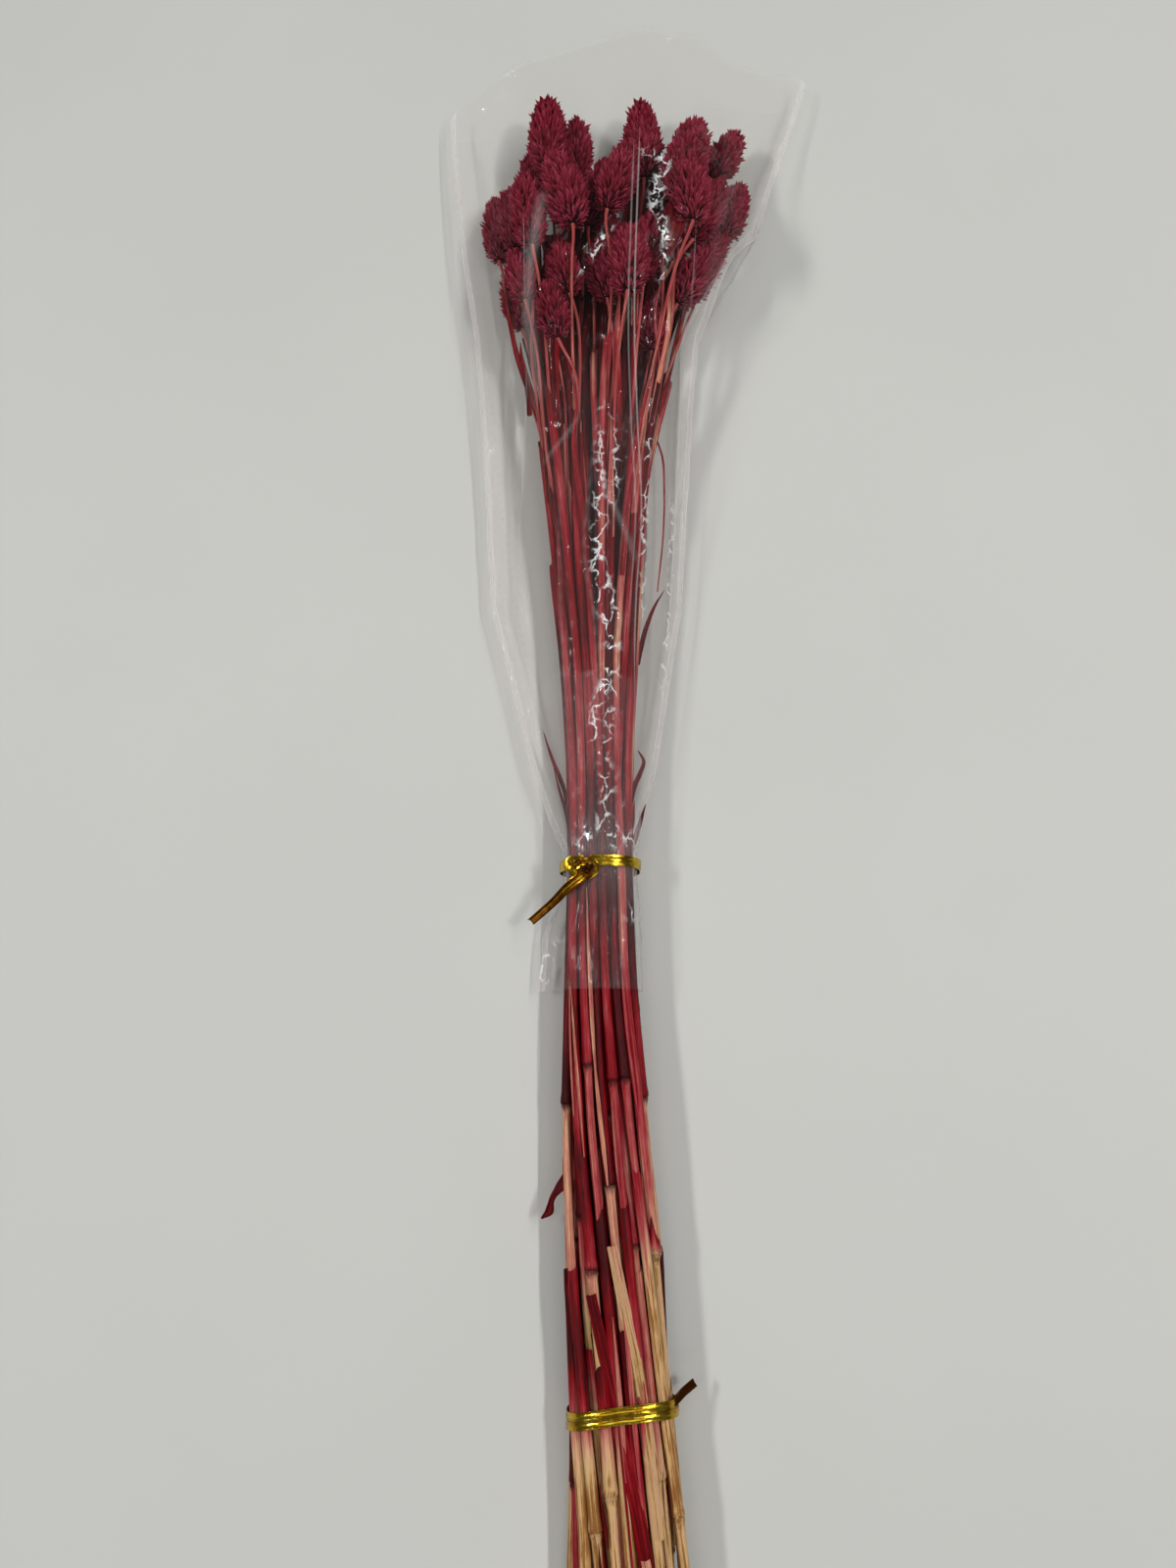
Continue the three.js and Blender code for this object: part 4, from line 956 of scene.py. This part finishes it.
def film_outline(tree, corner_left, corner_right, u, v, front):
    """The film's places seen from above, the inset from its nearer side, and the depth below its rim."""
    table_y = np.arange(SLEEVE_FOOT_Y + 0.2, 337, 3.0)
    table_left = np.array([sleeve_side(tree, min(y, corner_left[1] - 1), -1) for y in table_y])
    table_right = np.array([sleeve_side(tree, min(y, corner_right[1] - 1), 1) for y in table_y])
    if front:
        corner_y = corner_left[1] + (corner_right[1] - corner_left[1]) * u
        top = corner_y - FRONT_DIP * np.clip(np.sin(np.pi * u), 0, 1) ** 0.7
    else:
        rim_x, rim_y = np.array(BACK_RIM, float).T
        across = corner_left[0] + (corner_right[0] - corner_left[0]) * u
        top = smooth_curve(rim_x, rim_y[:, None], across)[0][:, 0]
    y = SLEEVE_FOOT_Y + 0.2 + (top - SLEEVE_FOOT_Y - 0.4) * v
    left = np.interp(y, table_y, table_left)
    right = np.interp(y, table_y, table_right)
    column = step_of(u, FILM_COLUMNS)
    last = len(EDGE_STEPS) - 1
    inner = np.clip((column - last) / (FILM_COLUMNS - 2 * last), 0, 1)
    from_left = np.array(EDGE_STEPS)[np.minimum(column, last)]
    from_right = np.array(EDGE_STEPS)[np.minimum(FILM_COLUMNS - column, last)]
    x = (left + from_left) * (1 - inner) + (right - from_right) * inner
    return x, y, np.minimum(x - left, right - x), top - y


def build_film(material):
    tree = cad_tree("sleeve")
    corners = cad_corners("sleeve")
    corner_left = min(corners[corners[:, 0] < corners[:, 0].min() + 0.05], key=lambda corner: corner[1])
    corner_right = min(corners[corners[:, 0] > corners[:, 0].max() - 0.05], key=lambda corner: corner[1])

    sheets = []
    for front in (True, False):
        sheet, u, v = new_sheet(FILM_COLUMNS, FILM_ROWS)
        x, y, inset, below_rim = film_outline(tree, corner_left, corner_right, u, v, front)
        z = sleeve_heights(tree, x, y, front, np.lexsort((u, v)))
        weld = 1 - smoothstep(inset, 1.7, 2.4)
        loose = smoothstep(inset, 2, 6)
        neck = np.exp(-((y - UPPER_TIE_Y) / 16) ** 2)
        gathers = np.array([noise.noise(Vector((a * 16, b / 60, 3 + front))) for a, b in zip(u, y)])
        waves = np.array([noise.noise(Vector((a / 11, b / 34, 9 + front))) for a, b in zip(x, y)])
        lift = loose * (0.5 * waves + (0.35 + 0.5 * neck) * gathers)
        seams = np.exp(-(inset / 0.3) ** 2) + 0.8 * np.exp(-((inset - 2.1) / 0.35) ** 2)
        rim = np.exp(-(inset / 4) ** 2) * smoothstep(y, 40, 90) * (0.7 + 0.6 * waves)
        veil = 0.1 * weld + 0.26 * seams + 0.06 * neck + 0.13 * rim
        painted_glints_and_gloss = np.zeros(len(x))
        if front:
            veil += 0.03 * between(y, -45, -30, 33, 36)
            for path, height, width, paleness in FOLDS:
                ridge = fold_ridge(path, width, x, y)
                lift += height * ridge * loose
                veil += 1.5 * paleness * ridge
            # Painted glints along these sharp creases, where the gloss is stronger too.
            for path, width, strength in PAINTED_GLINT_AND_GLOSS_PATHS:
                painted_glints_and_gloss = np.maximum(painted_glints_and_gloss, strength * fold_ridge(path, width, x, y))
            lift = np.maximum(lift, -0.2) + 1.3 * loose * smoothstep(y, 165, 190)
        else:
            veil += 0.06 * (1 - smoothstep(below_rim, 0.3, 1.2))
            lift = np.maximum(lift, 0.2 - z)
        for k, (path, _) in enumerate(THIN_FOLDS):
            fold_x, fold_y = np.array(path).T
            gap = x - smooth_curve(fold_y, fold_x[:, None], np.clip(y, fold_y[0], fold_y[-1]))[0][:, 0]
            fade = between(y, fold_y[0], fold_y[0] + 35, fold_y[-1] - 25, fold_y[-1])
            store(sheet, f"from_fold_{k}", gap / np.maximum(fade, 0.02) if front else FAR)
            if front and k == RIGHT_FLAP:
                veil += 0.11 * smoothstep(gap, 0, 1.2) * between(y, 100, 160, 222, 236)
        place_points(sheet, np.stack([x, y, z + lift], axis=1))
        store(sheet, "painted_glints_and_gloss", painted_glints_and_gloss)
        store(sheet, "hazy", 1 - 0.85 * smoothstep(y, 130, 185) * (1 - smoothstep(np.abs(x + 15), 66, 80)))
        store(sheet, "veil", np.clip(veil, 0, 0.6))
        sheets.append(sheet)
    film = join(sheets, "film_sleeve")
    smooth(film, 180)
    finish_piece(film, material, "clear_film", "sleeve")


# Twist ties

def tie_band(node, y_middle, knot_angle, pitch, tilt):
    """The strip's turns, as wide as the CAD's, with the wire's ridge along the middle of the strip."""
    tree = cad_tree(node)
    corners = cad_corners(node)
    band = corners[np.abs(corners[:, 1] - y_middle) < TIE_PITCH * TIE_TURNS / 2 + TIE_WIDTH / 2]
    centre = (band.min(0) + band.max(0)) / 2
    steps = 60 * TIE_TURNS
    strip, u, v = new_sheet(TIE_COLUMNS, steps)
    turn = v * TIE_TURNS
    angle = knot_angle + turn * 2 * math.pi
    y = y_middle + pitch * (turn - TIE_TURNS / 2)
    radius = np.zeros(len(u))
    for i in range(len(u)):
        way = Vector((math.cos(angle[i]), 0, math.sin(angle[i])))
        start = Vector((centre[0] * MM, y[i] * MM, centre[2] * MM))
        hit = tree.ray_cast(start, way)[0]
        radius[i] = (hit - start).length / MM if hit is not None else np.nan
    order = np.lexsort((u, v))
    rings = radius[order].reshape(steps + 1, TIE_COLUMNS + 1)
    for ring in rings.T:
        missed = np.isnan(ring)
        ring[missed] = np.interp(np.flatnonzero(missed), np.flatnonzero(~missed), ring[~missed])
    for _ in range(6):
        rings[1:-1] = (rings[:-2] + rings[1:-1] * 2 + rings[2:]) / 4
    radius[order] = rings.ravel()
    place = (u - 0.5) * TIE_WIDTH
    wire = 0.14 * np.exp(-(place / 0.3) ** 2) + 0.04 * np.cos(place * 5.2)
    sag = 0.06 * np.sin(angle * 9 + place) + 0.04 * np.sin(angle * 17)
    over = 0.35 * smoothstep(turn, 0.8, 1.2) * (pitch < TIE_WIDTH)
    reach = radius + 0.4 + wire + sag + over
    x = centre[0] + reach * np.cos(angle)
    slant = tilt * (x - centre[0]) + abs(tilt) * (5 - 0.03 * (x - centre[0]) ** 2)
    points = np.stack([x, y + place + slant, centre[2] + reach * np.sin(angle)], axis=1)
    place_points(strip, points)
    thicken(strip, FOIL_WALL)
    return strip


def build_tie(name, node, y_middle, knot_angle, pitch, tilt, strips, material):
    """A tie: its turns, and then the loops of its knot and its tail, each a strip along a path."""
    parts = [tie_band(node, y_middle, knot_angle, pitch, tilt)]
    store(parts[0], "browned", 0)
    for path, widths, facing, cup, browned in strips:
        part = ribbon(path, widths, facing, cup, 40, TIE_COLUMNS, FOIL_WALL)
        store(part, "browned", browned)
        parts.append(part)
    tie = join(parts, name)
    smooth(tie, 35)
    finish_piece(tie, material, "gold_foil", node)


# The object

scales = dyed_scales()
straw = dyed_straw()
foil = gold_foil()
film_material = clear_film()

lines = {}
for number in range(1, STALKS + 1):
    foot, axis = build_head(number, scales)
    lines[number] = StemLine(number, foot, axis)

# Leaf ends, each on its stem: the path, the widths along it, the dye from foot to tip, its cup, its face and
# sometimes its painted shade, which stands in for the shade deep in the bunch. A path at no height lies on
# the stems under it.
LEAVES = {
    9: [([(-44.6, 160, 11), (-45, 170, 12.5), (-46.5, 178, 14.5), (-48.2, 186, 15.5), (-48.8, 193, 16)],
         (2.4, 3.2, 3.0, 1.8, 0.3), (0.85, 0.75), 1.6, UPWARD),
        ([(-26, -149, 9.6), (-27.2, -154, 10.2), (-29.6, -158, 10.4), (-32, -161.5, 9), (-33.2, -165, 8.4),
           (-36.4, -168.2, 7.6)],
          (2.6, 4.2, 4.8, 3.6, 4.4, 0.8), (0.85, 0.95), (3.0, 1.0, 3.6, 1.2),
          ((0.3, 0, 1), (-0.7, 0.3, 0.7), (0.4, -0.4, 1)))],
    12: [([(6.5, 152, 14), (9.8, 147, 13.6), (12.2, 140, 13), (13, 125, 12), (12.4, 105, 11),
           (9.6, 78, 10.5)],
          (1.7, 1.9, 1.7, 1.6, 1.5, 1.2), (0.47, 0.4), 4.2, UPWARD),
         ([(-2.2, -12, 9.5), (-0.5, -5, 9.8), (1.8, 0, 10.4), (3.2, 4.5, 11), (0.8, 9, 11.3)],
          (1.8, 2.2, 2.4, 2.0, 0.5), (0.9, 0.8), 1.8, (UPWARD, (-0.7, 0, 0.7))),
         ([(-2.6, -33, 12), (-0.4, -26, 12), (1.4, -20, 11.8), (3.6, -13, 11.4)],
          (1.6, 2.2, 1.6, 0.2), (0.8, 0.9), 1.2, UPWARD),
         ([(-3.6, -30, 13), (-2, -22, 13), (-0.9, -12, 12.6)], (1.4, 1.8, 0.2), (0.7, 0.8), 1.2, UPWARD)],
    22: [([(-27, -20, 9), (-28.2, -9, 9.4), (-30.5, -2, 9.4), (-34, 7, 9.2), (-37.3, 17.5, 9.4)],
          (1.4, 1.8, 1.8, 1.3, 0.2), (0.9, 0.8), 1.4, UPWARD),
         ([(-26, -28, 11), (-27.6, -18, 11.4), (-31, -6, 10.5), (-33, 2, 10)],
          (1.2, 1.7, 1.2, 0.2), (0.95, 0.9), 1.4, UPWARD)],
    27: [([(1.2, 46, 9.8), (2.6, 54, 9.8), (5, 63, 9.9), (8.5, 72, 10), (12.5, 79, 10)],
          (1.6, 2.3, 2.0, 1.3, 0.2), (0.8, 0.85), 1.4, UPWARD)],
    3: [([(-6.3, 120, 22), (-6.4, 145, 25), (-6.8, 165, 28), (-7, 188, 30), (-5.4, 213, 31)],
         (2.2, 3.0, 3.4, 2.8, 0.25), (0.9, 0.85, 0.7, 0.5, 0.45), 1.7, UPWARD)],
    11: [([(-18.3, -192, 0), (-14.6, -208, 0), (-10.9, -223, 0), (-9, -232, 0), (-6.1, -246, 0),
           (-1.3, -268, 0), (0.4, -277, 0)],
          (9.5, 11, 12.5, 14, 14, 13), (0.9, 0.72, 0.8), 5.2, DOWNWARD),
         ([(-0.2, -274, 0), (3.5, -293, 0), (7, -316, 0), (9, -340, 0)],
          (8, 8, 8, 7), (0.3, 0.12, 0.08), 5.2, DOWNWARD)],
    20: [([(-10.8, -176, 0), (-7.5, -192, 0), (-2.5, -216, 0), (-0.2, -230, 0), (2.2, -246, 0), (5, -268, 0)],
          (9.5, 11.5, 12, 12, 11), (0.24, 0.12, 0.12, 0.14), 5.2, DOWNWARD)],
    17: [([(-10.3, 63.7, 7), (-11.0, 99.3, 7), (-12.6, 126.9, 7), (-14.2, 155.2, 7)], (2, 8, 8, 6.4),
          (0.6, 0.8), 1.0, UPWARD, (0.1, 0.2, 0.45)),
         ([(-14.6, 62, 16), (-15, 90, 19), (-15.4, 118, 21.5), (-15.2, 140, 22.5)], (1.2, 2.8, 2.8, 0.6),
          (0.55, 0.48), 1.4, UPWARD)],
    19: [([(14.5, 215, 43.5), (15.6, 222, 46), (17.4, 229, 47.5), (18, 236, 47.5), (17.1, 242, 46)],
          (2, 7, 9, 7.5, 1.2), (0.9, 0.86, 0.9), 0.7, (0.3, 0, 1))],
}


# Leaves deep among the heads, darkened by painted shade, each on its stem: its height, its width and its path
# seen from above
SHADE_PAINTED_LEAVES = {
    5: (10, 9, [(2.0, 158.1), (4.7, 207.0), (8.3, 253.1), (8.7, 282.3)]),
    8: (10, 7, [(-14.2, 148.6), (-15.0, 197.1), (-15.8, 237.6), (-16.6, 259.4)]),
    2: (10, 7, [(-32.0, 153.4), (-34.0, 197.1), (-36.1, 232.4), (-37.1, 253.1)]),
    4: (8, 10, [(-7.3, 173.9), (-3.5, 213.5), (0.3, 249.6), (2.0, 286.8)]),
    6: (9, 9, [(9.8, 163.5), (12.1, 207.8), (14.0, 243.5), (15.4, 277.9)]),
    7: (9, 7, [(-23.6, 158.7), (-24.5, 207.8), (-25.5, 238.3), (-25.6, 263.5)]),
    10: (8, 7, [(-4.9, 208.5), (-6.0, 234.0), (-7.2, 254.8), (-8.5, 269.6)]),
    15: (8, 7, [(-38.0, 154.6), (-41.6, 203.5), (-43.2, 234.0), (-43.5, 257.4)]),
}
for number, (height, width, path) in SHADE_PAINTED_LEAVES.items():
    path = [(*place, height) for place in path]
    # Painted shade on each leaf, rising from its foot to its tip.
    LEAVES[number] = [(path, (2, width, width, 0.8 * width), (0.7, 0.85), 1.0, UPWARD, (0.3, 0.4, 0.45))]


def top_of_stems(x, y):
    """How high the stems lie at a place."""
    top = 2
    for line in lines.values():
        if line.low < y < line.top:
            centre = line.at([y])[0][0]
            radius = line.radius(y)
            if abs(centre[0] - x) < radius + 0.6:
                top = max(top, centre[2] + radius)
    return top


def lay_down(leaf):
    """Gives a leaf drawn at no height that of the stems under it, pressed down by the lower tie."""
    path = []
    for x, y, z in leaf[0]:
        pressed = 1.4 * math.exp(-((y - LOWER_TIE_Y) / 9) ** 2)
        path.append((x, y, z or top_of_stems(x, y) + 1.1 - pressed))
    return (path, *leaf[1:])


def inner_leaf(rank):
    """A long leaf deep in the bunch, which fills it between the stems there, with painted shade rising
    towards its tip among the heads.
    """
    rng = random.Random(700 + rank)
    share = (rank + 0.5) / STALKS
    middle = math.sin(math.pi * share)
    top = 264 - rng.uniform(0, 36) - 70 * (1 - min(1, 3.6 * middle))
    low = rng.uniform(-25, 10)
    path = []
    for y in np.linspace(low, top, 7):
        across = [other.at([y])[0][0, 0] for other in lines.values() if other.top > y]
        start, end = min(across) + 3, max(across) - 3
        level = 5 + 9 * ((rank * 0.618) % 1) * smoothstep(y, -30, 200) + 2 * rng.random()
        path.append((start + (end - start) * share + rng.uniform(-1, 1), y, level))
    width = rng.uniform(2.8, 5.0)
    depth = rng.choice((0.36, 0.44, 0.5, 0.62, 0.8))
    widths = (2, width * 0.8, width, width, width * 1.2, width * 1.3, 1)
    return path, widths, (depth, depth, 0.8, 0.95), 1.2, UPWARD, (0.0, 0.0, 0.15, 0.65, 0.75)


by_place = sorted(lines, key=lambda number: lines[number].at([60])[0][0, 0])
for number, line in lines.items():
    leaves = [lay_down(leaf) for leaf in LEAVES.get(number, [])]
    build_stem(number, line, [*leaves, inner_leaf(by_place.index(number))], straw)

build_film(film_material)
build_tie("tie_above", "tie_upper", UPPER_TIE_Y, math.radians(108), 1.3, 0, [
    ([(-20.9, -37.2, 24.6), (-24.0, -37.8, 24.4), (-26.3, -38.2, 22.8), (-26.0, -40.2, 22.4),
      (-24.8, -42.6, 23.2), (-23.5, -44.5, 24.2)],
     (2.2, 2.8, 3.4, 3.6, 3.2, 2.4),
     (UPWARD, (-0.3, 0.5, 0.8), (-0.5, 0, 0.8), (-0.3, -0.2, 1), (0.3, -0.4, 0.9)), 0.5, 0.1),
    ([(-25.6, -37.9, 23.6), (-23.5, -39.0, 24.8), (-21.9, -38.2, 25), (-20.4, -39.3, 25.4),
      (-18.7, -38.3, 25.8)],
     (1.4, 2.2, 1.6, 2.2, 1.6), ((0.2, 0.8, 0.5), (0, -0.8, 0.6), (0, 0.8, 0.6), (0, -0.6, 0.8)), 1.2, 0.75),
    ([(-19.0, -37.5, 25.8), (-16.7, -39.8, 26.8), (-16.0, -41.8, 26.8), (-17.3, -43.4, 25.8),
      (-19.6, -44.3, 25), (-22.3, -44.5, 24.4)],
     (2.6, 2.8, 2.6, 2.6, 2.8, 3), ((0.1, 0.3, 1), (0.7, 0.1, 0.7), (0.5, -0.5, 0.7), (0.1, -0.7, 0.7)),
     0.7, 0.15),
    ([(-17.3, -40.0, 26.2), (-19.6, -40.5, 25.6), (-22.1, -41.8, 25), (-22.9, -43.5, 24.8),
      (-20.8, -44.3, 25)],
     (2, 2.2, 2.4, 2, 1.4), ((0.3, 0.3, 0.9), (-0.8, 0.2, 0.5), (-0.3, -0.9, 0.4)), 1.0, 0.8),
    ([(-18.7, -42.7, 25.4), (-23.0, -45.2, 24.6), (-26.7, -47.6, 22.5), (-33.0, -52.9, 17.5),
      (-41.4, -59.6, 12.6)],
     (4.4, 5.2, 4.8, 4.6, 4.2), ((0.2, -0.4, 1), (0.3, -0.4, 0.9)), (1.6, 2.6, 3.0, 2.6), 0.55),
], foil)
build_tie("tie_below", "tie_lower", LOWER_TIE_Y, math.radians(-30), 2.95, 0.13, [
    ([(8, -228.6, 17), (10.5, -227.4, 15.5), (14, -225, 12.5), (18.4, -222.6, 9)],
     (2.8, 3, 3, 3), ((0.6, 0, 0.8), (0.4, 0.3, 0.8)), 0.5, 1.0),
], foil)


# Table, light and camera

ROOM_STRENGTH = 0.11
CAMERA_PLACE = (-0.0193, -0.123, 0.465)
CAMERA_TILT = math.radians(14.6)
CAMERA_LENS = 27.05


def build_stage():
    deselect()
    bpy.ops.mesh.primitive_plane_add(size=8, location=(0, 0, -0.0002))
    table = bpy.context.object
    table.name = "table"
    table.data.materials.append(table_top())

    world = bpy.data.worlds.new("room")
    bpy.context.scene.world = world
    world.use_nodes = True
    room = world.node_tree.nodes["Background"]
    room.inputs["Color"].default_value = (0.95, 0.97, 1, 1)
    room.inputs["Strength"].default_value = ROOM_STRENGTH


def add_light(name, location, width, depth, brightness, target=(0, 0, 0)):
    """A flat lamp whose surface has the given brightness."""
    bpy.ops.object.light_add(type="AREA", location=location)
    light = bpy.context.object
    light.name = name
    light.data.shape = "RECTANGLE"
    light.data.size = width
    light.data.size_y = depth
    light.data.energy = brightness * math.pi * width * depth
    way = Vector(target) - light.location
    light.rotation_euler = way.to_track_quat("-Z", "Y").to_euler()


build_stage()
add_light("right_strip", (0.85, 0.5, 1.4), 1.8, 0.01, 205, (-0.02, 0.5, 0))
add_light("right_lamp", (0.85, -0.1, 1.4), 0.12, 0.12, 78)
add_light("left_lamp", (-1.25, 0.1, 1.35), 0.5, 0.14, 58, (0, 0.1, 0))
add_light("near_left", (-0.5, -0.15, 1.6), 0.4, 0.4, 3)
add_light("near_right", (0.5, -0.15, 1.6), 0.4, 0.4, 3)
add_light("near_box", (0, -1.7, 1.3), 1.6, 1.3, 1.3)
add_light("small_lamp", (0.12, 0.95, 1.45), 0.05, 0.05, 110)

deselect()
bpy.ops.object.camera_add(location=CAMERA_PLACE, rotation=(CAMERA_TILT, 0, 0))
camera = bpy.context.object
camera.data.lens = CAMERA_LENS
camera.data.sensor_width = 36
bpy.context.scene.camera = camera
bpy.context.scene.view_settings.view_transform = "Standard"
